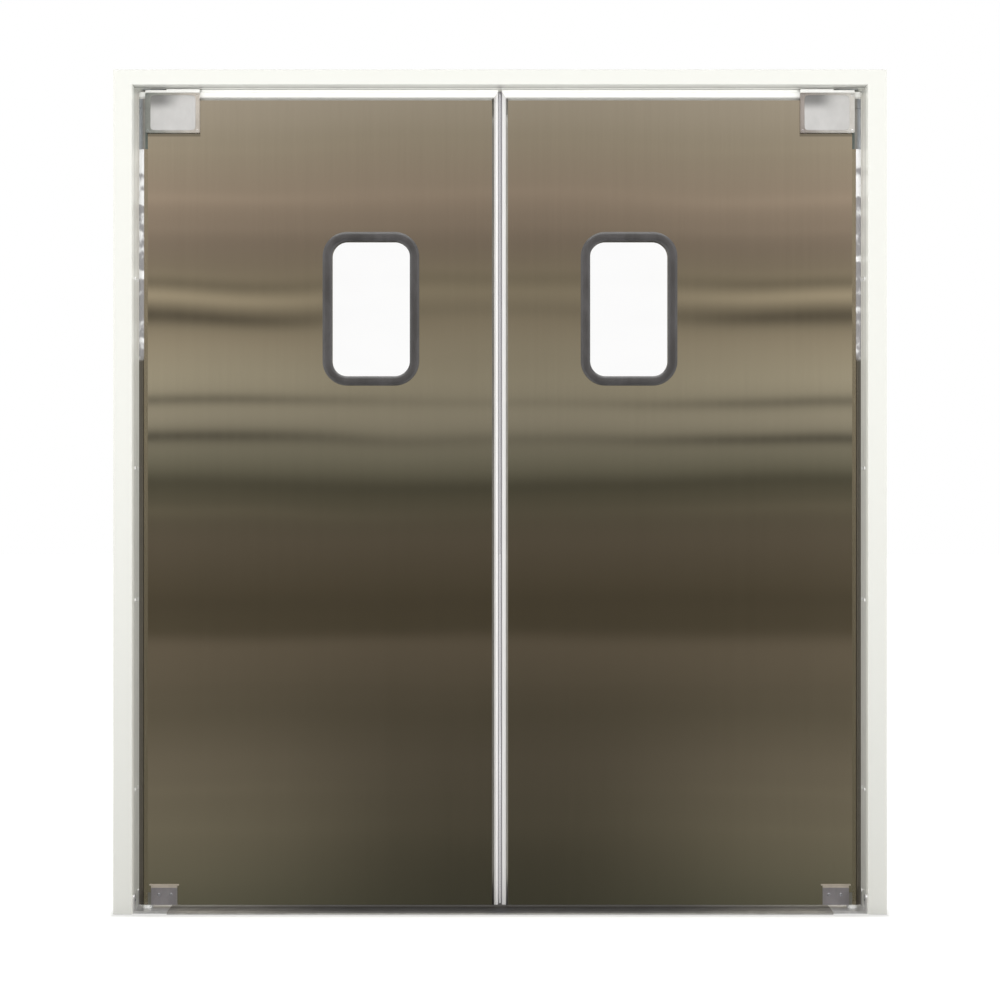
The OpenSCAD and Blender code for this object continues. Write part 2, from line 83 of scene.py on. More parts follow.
class Side(Enum):
    """Which leaf or jamb a piece belongs to, with its sign along X."""

    LEFT = -1
    RIGHT = 1

    @property
    def word(self) -> str:
        """The side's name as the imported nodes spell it."""
        return self.name.lower()

    @property
    def body(self) -> str:
        """The moving body on this side."""
        return f"{self.word}_leaf"

    @property
    def inward(self) -> Vector:
        """The direction from this side to the doorway's middle."""
        return (-self.value, 0.0, 0.0)


class Face(Enum):
    """Which face of the doorway a piece is on, with its sign along Y."""

    FRONT = -1
    BACK = 1

    @property
    def word(self) -> str:
        """The face's name in piece names."""
        return self.name.lower()

    @property
    def out(self) -> Vector:
        """The direction in which this face looks."""
        return (0.0, self.value, 0.0)


def box_of(node: str) -> tuple[np.ndarray, np.ndarray]:
    """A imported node's lowest and highest corners at rest, in metres."""
    low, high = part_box(node)
    return np.array(low), np.array(high)


class Edge:
    """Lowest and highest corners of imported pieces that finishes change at.

    They are the right leaf's and jamb's. The left ones mirror them.
    """

    jamb_low, jamb_high = box_of("right_jamb")
    guard_low, guard_high = box_of("right_hinge_guard")
    shoe_low, shoe_high = box_of("right_bottom_shoe")
    header_low = box_of("header")[0]
    spine_low = box_of("right_spine")[0]
    knuckle_high = box_of("right_hinge_knuckle")[1]
    gasket_high = box_of("right_top_gasket")[1]


# ---------- shader building ----------


class Value:
    """A number that varies over a surface: Python's operators on it add Math nodes."""

    def __init__(self, graph: "Graph", socket: bpy.types.NodeSocket) -> None:
        """Wraps one output socket of a graph."""
        self.graph = graph
        self.socket = socket

    def math(self, operation: str, *others: Number) -> "Value":
        """Adds a Math node whose first input is this value.

        Args:
            operation: The Math node's operation.
            others: Its second and third inputs, as numbers or values.

        Returns:
            The node's output.
        """
        return self.graph.math(operation, self, *others)

    def __add__(self, other: Number) -> "Value":
        """This value plus another."""
        return self.math("ADD", other)

    def __radd__(self, other: Number) -> "Value":
        """A number plus this value."""
        return self.math("ADD", other)

    def __sub__(self, other: Number) -> "Value":
        """This value less another."""
        return self.math("SUBTRACT", other)

    def __rsub__(self, other: Number) -> "Value":
        """A number less this value."""
        return self.graph.math("SUBTRACT", other, self)

    def __mul__(self, other: Number) -> "Value":
        """This value times another."""
        return self.math("MULTIPLY", other)

    def __rmul__(self, other: Number) -> "Value":
        """A number times this value."""
        return self.math("MULTIPLY", other)

    def __truediv__(self, other: Number) -> "Value":
        """This value over another."""
        return self.math("DIVIDE", other)

    def __rtruediv__(self, other: Number) -> "Value":
        """A number over this value."""
        return self.graph.math("DIVIDE", other, self)

    def __pow__(self, other: Number) -> "Value":
        """This value to a power."""
        return self.math("POWER", other)

    def above(self, edge: float, width: float) -> "Value":
        """A mask that rises smoothly as this value passes an edge.

        Args:
            edge: Where the mask is a half.
            width: The width, centred on the edge, over which it rises.

        Returns:
            The mask, from 0 to 1.
        """
        node = self.graph.add(
            "ShaderNodeMapRange",
            {"interpolation_type": "SMOOTHSTEP"},
            {"Value": self, "From Min": edge - width / 2, "From Max": edge + width / 2},
        )
        return Value(self.graph, node.outputs["Result"])

    def below(self, edge: float, width: float) -> "Value":
        """The mask that falls from 1 to 0 where the one above an edge rises."""
        return 1.0 - self.above(edge, width)

    def bell(self, middle: float, width: float) -> "Value":
        """A Gaussian of this value: exp(-t^2), where t is its way from the middle in widths."""
        off = (self - middle) / width
        return self.graph.math("EXPONENT", off * off * -1.0)


class Graph:
    """The node tree of one material or of the world, on Object coordinates."""

    def __init__(self, tree: bpy.types.NodeTree) -> None:
        """Empties a node tree and starts on it.

        Args:
            tree: The node tree.
        """
        self.tree = tree
        self.tree.nodes.clear()
        self._places: Value | None = None

    def add(
        self, kind: str, settings: dict | None = None, sockets: dict | None = None
    ) -> bpy.types.Node:
        """Adds one node.

        Args:
            kind: The node's type.
            settings: The node's own settings, set first. "stops" fills a colour ramp.
            sockets: Values, output sockets or constants for its inputs, by name or index.

        Returns:
            The node.
        """
        node = self.tree.nodes.new(kind)
        for name, setting in (settings or {}).items():
            if name == "stops":
                self._fill_ramp(node.color_ramp, setting)
            else:
                setattr(node, name, setting)
        for name, source in (sockets or {}).items():
            target = node.inputs[name]
            if isinstance(source, Value):
                self.tree.links.new(source.socket, target)
            elif isinstance(source, bpy.types.NodeSocket):
                self.tree.links.new(source, target)
            elif isinstance(source, tuple) and len(source) == 3 and target.type == "RGBA":
                target.default_value = (*source, 1.0)
            else:
                target.default_value = source
        return node

    @staticmethod
    def _fill_ramp(ramp: bpy.types.ColorRamp, stops: Bands) -> None:
        """Puts stops on a colour ramp, which starts with two.

        Args:
            ramp: The ramp.
            stops: Each stop's place from 0 to 1 and its colour, in order.
        """
        while len(ramp.elements) < len(stops):
            ramp.elements.new(0.5)
        for element, (place, colour) in zip(ramp.elements, stops):
            element.position = place
            element.color = (*colour, 1.0)

    def math(self, operation: str, *inputs: Number) -> Value:
        """Adds a Math node on numbers and values."""
        node = self.add("ShaderNodeMath", {"operation": operation}, dict(enumerate(inputs)))
        return Value(self, node.outputs[0])

    def place(self) -> bpy.types.NodeSocket:
        """Finds the point's place in the doorway's own frame.

        Returns:
            The place, in metres.
        """
        if self._places is None:
            self._places = self.add("ShaderNodeTexCoord").outputs["Object"]
        return self._places

    def along(self, axis: str) -> Value:
        """One coordinate of the place, X, Y or Z."""
        split = self.add("ShaderNodeSeparateXYZ", {}, {"Vector": self.place()})
        return Value(self, split.outputs[axis])

    def aside(self, axis: str) -> Value:
        """The place's distance from the doorway's middle plane across an axis."""
        return self.math("ABSOLUTE", self.along(axis))

    def noise(self, per_metre: Vector, detail: float = 2.0, roughness: float = 0.5) -> Value:
        """Noise with its own number of cells per metre along each axis.

        Args:
            per_metre: Cells per metre along X, Y and Z.
            detail: How many finer octaves are added.
            roughness: How strong each octave is beside the one before it.

        Returns:
            The noise, from 0 to 1.
        """
        stretch = self.add("ShaderNodeMapping", {}, {"Vector": self.place(), "Scale": per_metre})
        node = self.add(
            "ShaderNodeTexNoise",
            {"noise_dimensions": "3D"},
            {"Vector": stretch.outputs[0], "Scale": 1.0, "Detail": detail, "Roughness": roughness},
        )
        return Value(self, node.outputs[0])

    def ramp(self, stops: Bands, share: Value) -> bpy.types.NodeSocket:
        """A colour picked from a ramp by a share from 0 to 1."""
        return self.add("ShaderNodeValToRGB", {"stops": stops}, {0: share}).outputs[0]

    def mix(
        self, factor: Number, first: Tint, second: Tint, blend: str = "MIX"
    ) -> bpy.types.NodeSocket:
        """Mixes two colours.

        Args:
            factor: How much of the second there is, from 0 to 1.
            first: The first colour, as a constant or a socket.
            second: The second one.
            blend: The Mix node's way of blending.

        Returns:
            The mixed colour.
        """
        node = self.add(
            "ShaderNodeMix",
            {"data_type": "RGBA", "blend_type": blend, "clamp_factor": True},
            {0: factor, 6: first, 7: second},
        )
        return node.outputs[2]

    def scaled(self, colour: Tint, level: Number) -> bpy.types.NodeSocket:
        """A colour times a level."""
        sockets = {"Vector": colour, "Scale": level}
        return self.add("ShaderNodeVectorMath", {"operation": "SCALE"}, sockets).outputs[0]

    def bump(
        self, height: Value, metres: float, under: bpy.types.NodeSocket | None = None
    ) -> bpy.types.NodeSocket:
        """Bends the normal by a height.

        Args:
            height: The height, from 0 to 1.
            metres: How far a height of 1 stands out.
            under: A normal that is already bent, if any.

        Returns:
            The bent normal.
        """
        sockets = {"Height": height, "Distance": metres, "Strength": 1.0}
        if under is not None:
            sockets["Normal"] = under
        return self.add("ShaderNodeBump", {}, sockets).outputs[0]

    def principled(self, sockets: dict) -> bpy.types.NodeSocket:
        """A Principled shader with the given sockets."""
        return self.add("ShaderNodeBsdfPrincipled", {}, sockets).outputs[0]

    def show(self, shader: bpy.types.NodeSocket, kind: str = "ShaderNodeOutputMaterial") -> None:
        """Makes a shader the tree's result."""
        self.add(kind, {}, {"Surface": shader})


def new_material(name: str) -> tuple[bpy.types.Material, Graph]:
    """Makes a material with an empty node tree.

    Args:
        name: Its name.

    Returns:
        The material and its tree.
    """
    made = bpy.data.materials.new(name)
    made.use_nodes = True
    return made, Graph(made.node_tree)


@dataclass(frozen=True)
class Finish:
    """What every surface finish shares: a name, a base colour and a way to become a material."""

    made: ClassVar[dict[str, bpy.types.Material]] = {}

    name: str
    colour: Colour = (0.8, 0.8, 0.8)

    def material(self) -> bpy.types.Material:
        """Makes the finish's material, unless it was made before.

        Returns:
            The material.
        """
        if self.name not in Finish.made:
            Finish.made[self.name], graph = new_material(self.name)
            graph.show(self.shade(graph))
        return Finish.made[self.name]

    def shade(self, graph: Graph) -> bpy.types.NodeSocket:
        """Builds the finish's shader on a graph and returns its output."""
        raise NotImplementedError


@dataclass(frozen=True)
class BrushedSteel(Finish):
    """Stainless sheet with a vertical brushed grain, slightly out of flat as pressed sheet is."""

    roughness: float = 0.075
    spread: float = 0.02
    stretch: float = 1.0
    wave: float = 0.7 * MM
    wave_cells: Vector = (1.7, 1.0, 2.3)
    grain: float = 0.006 * MM
    grain_cells: Vector = (950.0, 950.0, 5.0)
    broad_cells: Vector = (60.0, 60.0, 0.9)
    cloud_cells: Vector = (5.0, 5.0, 3.0)
    streak: float = 0.035
    # These fields place a painted shadow on the sheet just below the guard.
    grime_near: float = Edge.guard_low[0] - 1 * MM
    grime_far: float = Edge.guard_high[0]
    grime_top: float = Edge.guard_low[2]
    grime_drop: float = 8 * MM
    grime_gain: float = 0.42

    def shade(self, graph: Graph) -> bpy.types.NodeSocket:
        """Height is a slow noise for the waves plus a fine one drawn out along Z for the grain.

        A painted shadow darkens the sheet just below the guard: it is the product of one mask along
        |x|, over the guard's width, and one along z, over the drop.

        Args:
            graph: The material's node tree.

        Returns:
            The shader's output.
        """
        fine = graph.noise(self.grain_cells, detail=2.0)
        broad = graph.noise(self.broad_cells, detail=3.0)
        cloud = graph.noise(self.cloud_cells, detail=4.0, roughness=0.6)
        wave = graph.noise(self.wave_cells, detail=0.6)
        streaks = (0.5 * fine + 0.3 * broad + 0.2 * cloud).above(0.5, 0.6)
        dark = tuple(c * (1 - self.streak) for c in self.colour)
        light = tuple(min(1.0, c * (1 + self.streak)) for c in self.colour)
        aside, height = graph.aside("X"), graph.along("Z")
        # Painted shadow below the guard: a mask along |x| times one along z.
        grime = aside.above(self.grime_near, 4 * MM) * aside.below(self.grime_far, 2 * MM)
        grime = grime * height.above(self.grime_top - self.grime_drop, 5 * MM)
        grime = grime * height.below(self.grime_top, 3 * MM)
        level = 1.0 - self.grime_gain * grime
        return graph.principled(
            {
                "Base Color": graph.scaled(graph.mix(streaks, dark, light), level),
                "Metallic": 1.0,
                "Roughness": self.roughness + self.spread * (0.6 * broad + 0.4 * cloud - 0.5),
                "Anisotropic": self.stretch,
                "Normal": graph.bump(fine, self.grain, graph.bump(wave, self.wave)),
            }
        )


@dataclass(frozen=True)
class PressedSteel(Finish):
    """Satin steel of a small folded or machined piece, rubbed lighter where it is handled."""

    roughness: float = 0.28
    ripple: float = 0.05 * MM
    ripple_cells: Vector = (9.0, 9.0, 6.0)
    grain: float = 0.004 * MM
    grain_cells: Vector = (700.0, 700.0, 30.0)
    grain_gloss: float = 0.06
    rub: float = 0.12
    rub_cells: Vector = (22.0, 22.0, 14.0)
    rub_gloss: float = 0.12
    metallic: float = 1.0

    def tone(self, graph: Graph) -> Tint:
        """The steel's colour before it is rubbed."""
        return self.colour

    def metal(self, graph: Graph) -> Number:
        """How metallic the surface is."""
        return self.metallic

    def shade(self, graph: Graph) -> bpy.types.NodeSocket:
        """A clouded rub and short scuffs change the colour and the gloss together.

        Args:
            graph: The material's node tree.

        Returns:
            The shader's output.
        """
        fine = graph.noise(self.grain_cells, detail=2.0)
        rub = graph.noise(self.rub_cells, detail=5.0, roughness=0.65)
        ripple = graph.noise(self.ripple_cells, detail=1.0)
        level = 1.0 + self.rub * (2.0 * rub.above(0.5, 0.35) - 1.0)
        gloss = self.rub_gloss * (rub - 0.5) + self.grain_gloss * (fine - 0.5)
        return graph.principled(
            {
                "Base Color": graph.scaled(self.tone(graph), level),
                "Metallic": self.metal(graph),
                "Roughness": self.roughness + gloss,
                "Normal": graph.bump(fine, self.grain, graph.bump(ripple, self.ripple)),
            }
        )


@dataclass(frozen=True)
class FilmedSteel(Finish):
    """Folded edge steel whose round nose carries painted reflections: a dark tone low down, and
    above a height a lighter tone with white crumpled patches of painted highlight.
    """

    nose: Colour = (0.16, 0.145, 0.125)
    film: Colour = (0.88, 0.88, 0.895)
    worn: Colour = (0.40, 0.39, 0.41)
    nose_from: float = Edge.spine_low[0] + 9.5 * MM
    film_ends: float = 1.385
    film_thins: float = 1.77
    film_bump: float = 0.6 * MM
    film_bare: float = 0.575
    lump_cells: Vector = (9.0, 9.0, 24.0)
    crumple_cells: Vector = (110.0, 110.0, 75.0)
    grain: float = 0.004 * MM
    grain_cells: Vector = (700.0, 700.0, 8.0)
    roughness: float = 0.24

    def shade(self, graph: Graph) -> bpy.types.NodeSocket:
        """Painted highlight patches are a threshold of noise, rarer below a height, kept to the nose
        by |x|.

        Args:
            graph: The material's node tree.

        Returns:
            The shader's output.
        """
        height = graph.along("Z")
        nose = graph.aside("X").above(self.nose_from, 1.5 * MM)
        lumps = graph.noise(self.lump_cells, detail=1.0)
        crumple = graph.noise(self.crumple_cells, detail=2.0)
        grain = graph.noise(self.grain_cells, detail=1.0)
        # Painted reflection: the nose is dark below a height and lighter above it, where white patches
        # of painted highlight are made less metallic so that they show.
        zone = height.above(self.film_ends, 20 * MM) * nose
        plenty = height.above(self.film_thins, 60 * MM)
        cover = lumps + 0.22 * (crumple - 0.5) + 0.15 * plenty
        patch = cover.above(self.film_bare, 0.13) * zone
        steel = graph.mix(nose, self.colour, self.nose)
        steel = graph.mix(zone, steel, self.worn)
        crumpled = graph.bump(crumple, self.film_bump)
        smooth = graph.bump(grain, self.grain)
        normal = graph.add(
            "ShaderNodeMix", {"data_type": "VECTOR"}, {0: zone, 4: smooth, 5: crumpled}
        )
        return graph.principled(
            {
                "Base Color": graph.mix(patch, steel, self.film),
                "Metallic": 1.0 - 0.9 * patch - 0.4 * (zone - patch),
                "Roughness": self.roughness + 0.15 * zone + 0.05 * (grain - 0.5),
                "Normal": normal.outputs[1],
            }
        )


@dataclass(frozen=True)
class TonedSteel(PressedSteel):
    """Small steel whose tone changes in bands along one axis; the bands are painted reflections,
    highlights and shade.
    """

    axis: str = "X"
    bands: Bands = ()
    start: float = 0.0
    reach: float = 1.0
    mirrored: bool = True

    def tone(self, graph: Graph) -> Tint:
        """Bands run along the axis, or both ways from its middle, from the start over the reach."""
        place = graph.aside(self.axis) if self.mirrored else graph.along(self.axis)
        return graph.ramp(self.bands, (place - self.start) / self.reach)


@dataclass(frozen=True)
class LedgedSteel(TonedSteel):
    """Toned steel with a painted highlight on a ledge along its top."""

    ledge_from: float = 0.0
    worn: Colour = (0.37, 0.325, 0.27)
    scratched: float = 0.85

    def ledge(self, graph: Graph) -> Value:
        """The mask of what lies above the ledge's height."""
        return graph.along("Z").above(self.ledge_from, 0.5 * MM)

    def tone(self, graph: Graph) -> Tint:
        """The bands, and the painted highlight's colour on the ledge."""
        return graph.mix(self.ledge(graph), super().tone(graph), self.worn)

    def metal(self, graph: Graph) -> Number:
        """The ledge is made less metallic, so its painted highlight shows as a matt colour."""
        return self.metallic * (1.0 - self.scratched * self.ledge(graph))


@dataclass(frozen=True)
class TroddenAlloy(TonedSteel):
    """Toned alloy underfoot, brighter toward both ends."""

    ends: Colour = (0.31, 0.30, 0.28)
    ends_from: float = 0.60
    ends_deep: float = 0.50

    def tone(self, graph: Graph) -> Tint:
        """The lighter, in each channel, of the bands and the ends' colour under a ramp of |x|."""
        share = graph.aside("X").above(self.ends_from, self.ends_deep)
        return graph.mix(share, super().tone(graph), self.ends, "LIGHTEN")


@dataclass(frozen=True)
class CorneredSteel(PressedSteel):
    """Satin steel with a painted dark reflection toward its top left corner."""

    corner: tuple[float, float] = (0.0, 0.0)
    fade: tuple[float, float] = (0.1, 0.1)
    corner_gain: float = 0.0

    def tone(self, graph: Graph) -> Tint:
        """The colour falls by a gain times a mask left of +-x times one above z.

        Args:
            graph: The material's node tree.

        Returns:
            The colour.
        """
        x = graph.along("X")
        left = (x - self.corner[0] * graph.math("SIGN", x)).below(0.0, self.fade[0])
        high = graph.along("Z").above(self.corner[1], self.fade[1])
        return graph.scaled(self.colour, 1.0 - self.corner_gain * left * high)


@dataclass(frozen=True)
class Enamel(Finish):
    """Sprayed enamel on folded steel: faint orange peel, darker and mottled toward the floor, with
    painted light and shade.
    """

    colour: Colour = (0.650, 0.653, 0.615)
    roughness: float = 0.34
    coat: float = 0.15
    peel: float = 0.012 * MM
    peel_cells: Vector = (420.0, 420.0, 420.0)
    dents: float = 0.06 * MM
    cloud_cells: Vector = (4.0, 4.0, 2.0)
    grime: Colour = (0.62, 0.60, 0.55)
    grime_height: float = 0.25
    face_at: float = Edge.jamb_high[1] - 1.5 * MM
    outer_gain: float = 0.48
    inner_gain: float = 0.28
    seam_at: float = 29 * MM
    seam_wide: float = 6 * MM
    seam_gain: float = 0.44
    reveal_at: float = Edge.jamb_low[0] + 1 * MM
    soffit_at: float = Edge.header_low[2] + 1 * MM
    faded: float = 0.085
    faded_below: float = 0.70
    faded_deep: float = 1.3

    def shade(self, graph: Graph) -> bpy.types.NodeSocket:
        """A broken darkening, from a cloud noise, fades out with height above the floor.

        Painted light and shade change the sheet's whiteness inside the opening, by one gain outside
        a filled seam and by another inside it. The seam is a Gaussian of |y|, on the faces toward
        the opening. Below middle height a painted shade fades the white.

        Args:
            graph: The material's node tree.

        Returns:
            The shader's output.
        """
        peel = graph.noise(self.peel_cells, detail=2.0)
        cloud = graph.noise(self.cloud_cells, detail=5.0, roughness=0.6)
        height, depth = graph.along("Z"), graph.aside("Y")
        low = height.below(self.grime_height / 2, self.grime_height)
        mottle = low * cloud.above(0.55, 0.3) * 0.35 + 0.05 * cloud
        seam = depth.bell(self.seam_at, self.seam_wide)
        seam = seam * graph.aside("X").below(self.reveal_at, 1 * MM)
        seam = seam * height.below(self.soffit_at, 1 * MM)
        inner = depth.below(self.seam_at, 4 * MM)
        outer = (1.0 - inner) * depth.below(self.face_at, 1.5 * MM)
        # Painted light and shade: the gains whiten or darken the faces inside the opening.
        level = 1.0 + self.outer_gain * outer + self.inner_gain * inner - self.seam_gain * seam
        # Painted shade: the white fades below middle height.
        level = level * (1.0 - self.faded * height.below(self.faded_below, self.faded_deep))
        return graph.principled(
            {
                "Base Color": graph.scaled(graph.mix(mottle, self.colour, self.grime), level),
                "Roughness": self.roughness + 0.10 * (cloud - 0.5) + 0.1 * mottle,
                "Coat Weight": self.coat,
                "Coat Roughness": 0.18,
                "Normal": graph.bump(peel, self.peel, graph.bump(cloud, self.dents)),
            }
        )


@dataclass(frozen=True)
class Elastomer(Finish):
    """Rubber or vinyl: matt, with a fine bloom and scuffs that catch the light."""

    bloom: Colour = (0.2, 0.2, 0.2)
    bloom_share: float = 0.3
    roughness: float = 0.5
    coat: float = 0.0
    pebble: float = 0.01 * MM
    pebble_cells: Vector = (1300.0, 1300.0, 1300.0)
    cloud_cells: Vector = (30.0, 30.0, 12.0)

    def tone(self, graph: Graph) -> Tint:
        """The colour before its bloom."""
        return self.colour

    def shade(self, graph: Graph) -> bpy.types.NodeSocket:
        """Bloom follows a cloud noise, and a pebbled noise gives the skin.

        Args:
            graph: The material's node tree.

        Returns:
            The shader's output.
        """
        pebble = graph.noise(self.pebble_cells, detail=1.0)
        cloud = graph.noise(self.cloud_cells, detail=5.0, roughness=0.65)
        bloomed = cloud.above(0.55, 0.5) * self.bloom_share
        return graph.principled(
            {
                "Base Color": graph.mix(bloomed, self.tone(graph), self.bloom),
                "Roughness": self.roughness + 0.14 * (cloud - 0.5),
                "Coat Weight": self.coat,
                "Coat Roughness": 0.25,
                "Normal": graph.bump(pebble, self.pebble),
            }
        )


@dataclass(frozen=True)
class BandedVinyl(Elastomer):
    """Vinyl whose whiteness differs in bands along one axis; the bands are painted light and shade."""

    axis: str = "X"
    bands: Bands = ()
    start: float = -18 * MM
    reach: float = 36 * MM

    def tone(self, graph: Graph) -> Tint:
        """Bands run along the axis from the start over the reach."""
        return graph.ramp(self.bands, (graph.along(self.axis) - self.start) / self.reach)


@dataclass(frozen=True)
class ClearSheet(Finish):
    """Clear glazing with faint wipe marks."""

    roughness: float = 0.02
    mirrored: float = 0.02
    smeared: float = 0.01
    smear_cells: Vector = (6.0, 6.0, 18.0)

    def shade(self, graph: Graph) -> bpy.types.NodeSocket:
        """Light passes straight through, less the share that the surface mirrors.

        At facing f, which is 1 less the cosine of the slant, and for a share m that it mirrors
        when seen square on, the whole share is m + (1 - m) f^5.

        Args:
            graph: The material's node tree.

        Returns:
            The shader's output.
        """
        smear = graph.noise(self.smear_cells, detail=5.0, roughness=0.6)
        layer = graph.add("ShaderNodeLayerWeight", {}, {"Blend": 0.5})
        facing = Value(graph, layer.outputs["Facing"])
        share = self.mirrored + (1.0 - self.mirrored) * facing**5
        return graph.principled(
            {
                "Base Color": self.colour,
                "Metallic": 1.0,
                "Roughness": self.roughness + 0.05 * smear.above(0.6, 0.3),
                "Alpha": share + self.smeared * smear.above(0.6, 0.4),
            }
        )


@dataclass(frozen=True)
class Plywood(Finish):
    """Raw plywood edge and face, seen only where the leaf's skins leave it bare."""

    late: Colour = (0.34, 0.22, 0.12)
    figure_cells: Vector = (40.0, 40.0, 2.5)
    plies_per_metre: float = 302.4
    blur: float = 3.0

    def shade(self, graph: Graph) -> bpy.types.NodeSocket:
        """Plies are bands across the thickness, blurred by a long-grained noise.

        Args:
            graph: The material's node tree.

        Returns:
            The shader's output.
        """
        figure = graph.noise(self.figure_cells, detail=5.0, roughness=0.6)
        turn = graph.along("Y") * (2 * math.pi * self.plies_per_metre) + figure * self.blur
        plies = graph.math("SINE", turn) * 0.5 + 0.5
        return graph.principled(
            {
                "Base Color": graph.mix(0.6 * plies + 0.4 * figure, self.colour, self.late),
                "Roughness": 0.7,
                "Normal": graph.bump(figure, 0.1 * MM),
            }
        )


class Palette:
    """Every finish of the doors."""

    skin = BrushedSteel("skin_steel", (0.62, 0.585, 0.53))
    # The spine's nose tones and white patches are painted reflections and highlights.
    spine = FilmedSteel("spine_steel", (0.54, 0.50, 0.42))
    # The guard's bands are painted reflections and shade: across each guard the tone runs dark to
    # light, ending in a painted highlight.
    guard = TonedSteel(
        "guard_satin",
        roughness=0.30,
        metallic=0.75,
        mirrored=False,
        start=-(Edge.guard_high[0] + 1 * MM),
        reach=2 * (Edge.guard_high[0] + 1 * MM),
        bands=(
            (0.000, (0.30, 0.325, 0.32)),
            (0.018, (0.40, 0.42, 0.41)),
            (0.045, (0.58, 0.57, 0.55)),
            (0.077, (0.74, 0.70, 0.66)),
            (0.923, (0.44, 0.40, 0.39)),
            (0.955, (0.54, 0.53, 0.52)),
            (1.000, (0.86, 0.86, 0.86)),
        ),
    )
    plate = CorneredSteel(
        "plate_satin",
        (0.53, 0.525, 0.52),
        roughness=0.42,
        metallic=0.3,
        rub=0.05,
        corner=(Edge.guard_high[0] - 67 * MM, Edge.guard_high[2] - 33.5 * MM),
        fade=(60 * MM, 30 * MM),
        corner_gain=0.60,
    )
    # The knuckle's bands are painted reflections across its round face.
    hinge = TonedSteel(
        "hinge_steel",
        roughness=0.32,
        start=Edge.knuckle_high[0] - 28 * MM,
        reach=30 * MM,
        bands=(
            (0.00, (0.16, 0.20, 0.21)),
            (0.30, (0.22, 0.27, 0.28)),
            (0.42, (0.46, 0.46, 0.47)),
            (0.55, (0.32, 0.33, 0.35)),
            (0.75, (0.46, 0.48, 0.53)),
            (1.00, (0.62, 0.62, 0.62)),
        ),
    )
    # The shoe's ledge carries a painted highlight.
    shoe = LedgedSteel(
        "shoe_satin",
        roughness=0.36,
        metallic=0.6,
        start=Edge.shoe_low[0] - 5.5 * MM,
        reach=110 * MM,
        ledge_from=Edge.shoe_high[2] - 8.5 * MM,
        bands=(
            (0.000, (0.30, 0.295, 0.26)),
            (0.130, (0.285, 0.27, 0.285)),
            (0.683, (0.28, 0.265, 0.28)),
            (0.690, (0.23, 0.225, 0.20)),
            (1.000, (0.20, 0.20, 0.185)),
        ),
    )
    bracket = PressedSteel("bracket_satin", (0.70, 0.70, 0.71), roughness=0.34, metallic=0.7)
    # The saddle's last bands are a painted highlight on its lit front nose; toward both ends it is
    # brighter.
    saddle = TroddenAlloy(
        "saddle_alloy",
        roughness=0.45,
        metallic=0.6,
        axis="Y",
        reach=Edge.jamb_high[1],
        bands=(
            (0.00, (0.056, 0.056, 0.058)),
            (0.16, (0.060, 0.060, 0.062)),
            (0.30, (0.083, 0.084, 0.088)),
            (0.80, (0.068, 0.069, 0.071)),
            (0.92, (0.078, 0.079, 0.081)),
            (0.97, (0.300, 0.298, 0.290)),
            (1.00, (0.440, 0.435, 0.420)),
        ),
    )
    zinc = PressedSteel("zinc_plate", (0.55, 0.57, 0.60), roughness=0.40, rub=0.2)
    channel = PressedSteel("channel_alloy", (0.70, 0.70, 0.70), roughness=0.35)
    # The beads' two tones are painted light and shade: the left leaf's bead is darker, the right one's
    # lighter.
    trim = TonedSteel(
        "trim_alloy",
        roughness=0.34,
        rub=0.08,
        mirrored=False,
        start=-18 * MM,
        reach=36 * MM,
        bands=((0.4, (0.27, 0.26, 0.24)), (0.6, (0.46, 0.45, 0.42))),
    )
    head_trim = PressedSteel(
        "head_trim", (0.36, 0.355, 0.33), roughness=0.4, metallic=0.3, rub=0.06
    )
    # The lips' bands are painted shade: the right leaf's lip is darker than the left one's.
    lip = BandedVinyl(
        "lip_vinyl",
        bloom=(0.38, 0.37, 0.39),
        bands=((0.0, (0.38, 0.37, 0.39)), (0.49, (0.37, 0.36, 0.38)), (0.51, (0.23, 0.22, 0.24))),
    )
    cap = Elastomer("cap_white", (0.93, 0.93, 0.92), bloom=(0.85, 0.85, 0.84), roughness=0.3)
    fixing = PressedSteel("fixing_steel", (0.30, 0.30, 0.32), roughness=0.3, ripple=0.0)
    enamel = Enamel("frame_enamel")
    # The header's gains are painted shade on its outer part and painted light nearer the leaf.
    head_enamel = Enamel(
        "head_enamel",
        outer_gain=-0.12,
        inner_gain=0.16,
        seam_at=33 * MM,
        seam_wide=9 * MM,
        seam_gain=0.72,
    )
    # The darker band at the gasket's foot is painted shade.
    gasket = BandedVinyl(
        "gasket_vinyl",
        bloom=(0.84, 0.83, 0.79),
        bloom_share=0.4,
        axis="Z",
        start=Edge.gasket_high[2] - 20.5 * MM,
        reach=20 * MM,
        bands=(
            (0.30, (0.66, 0.655, 0.63)),
            (0.36, (0.97, 0.97, 0.945)),
            (1.00, (0.98, 0.98, 0.955)),
        ),
    )
    # The meeting gasket's bands are painted light and shade across its face.
    worn_gasket = BandedVinyl(
        "gasket_worn",
        bloom=(0.66, 0.65, 0.63),
        bloom_share=0.25,
        bands=(
            (0.00, (0.53, 0.515, 0.50)),
            (0.20, (0.54, 0.525, 0.51)),
            (0.27, (0.76, 0.75, 0.74)),
            (0.45, (0.77, 0.76, 0.76)),
            (0.60, (0.62, 0.61, 0.61)),
            (0.85, (0.62, 0.615, 0.60)),
            (0.95, (0.70, 0.695, 0.68)),
        ),
    )
    rubber = Elastomer(
        "window_rubber",
        (0.035, 0.033, 0.034),
        bloom=(0.12, 0.115, 0.12),
        roughness=0.36,
        coat=0.5,
    )
    nylon = Elastomer("washer_nylon", (0.82, 0.82, 0.79), bloom=(0.7, 0.7, 0.66), roughness=0.4)
    pane = ClearSheet("pane_glass", (0.90, 0.92, 0.92))
    ply = Plywood("core_ply", (0.62, 0.46, 0.29))


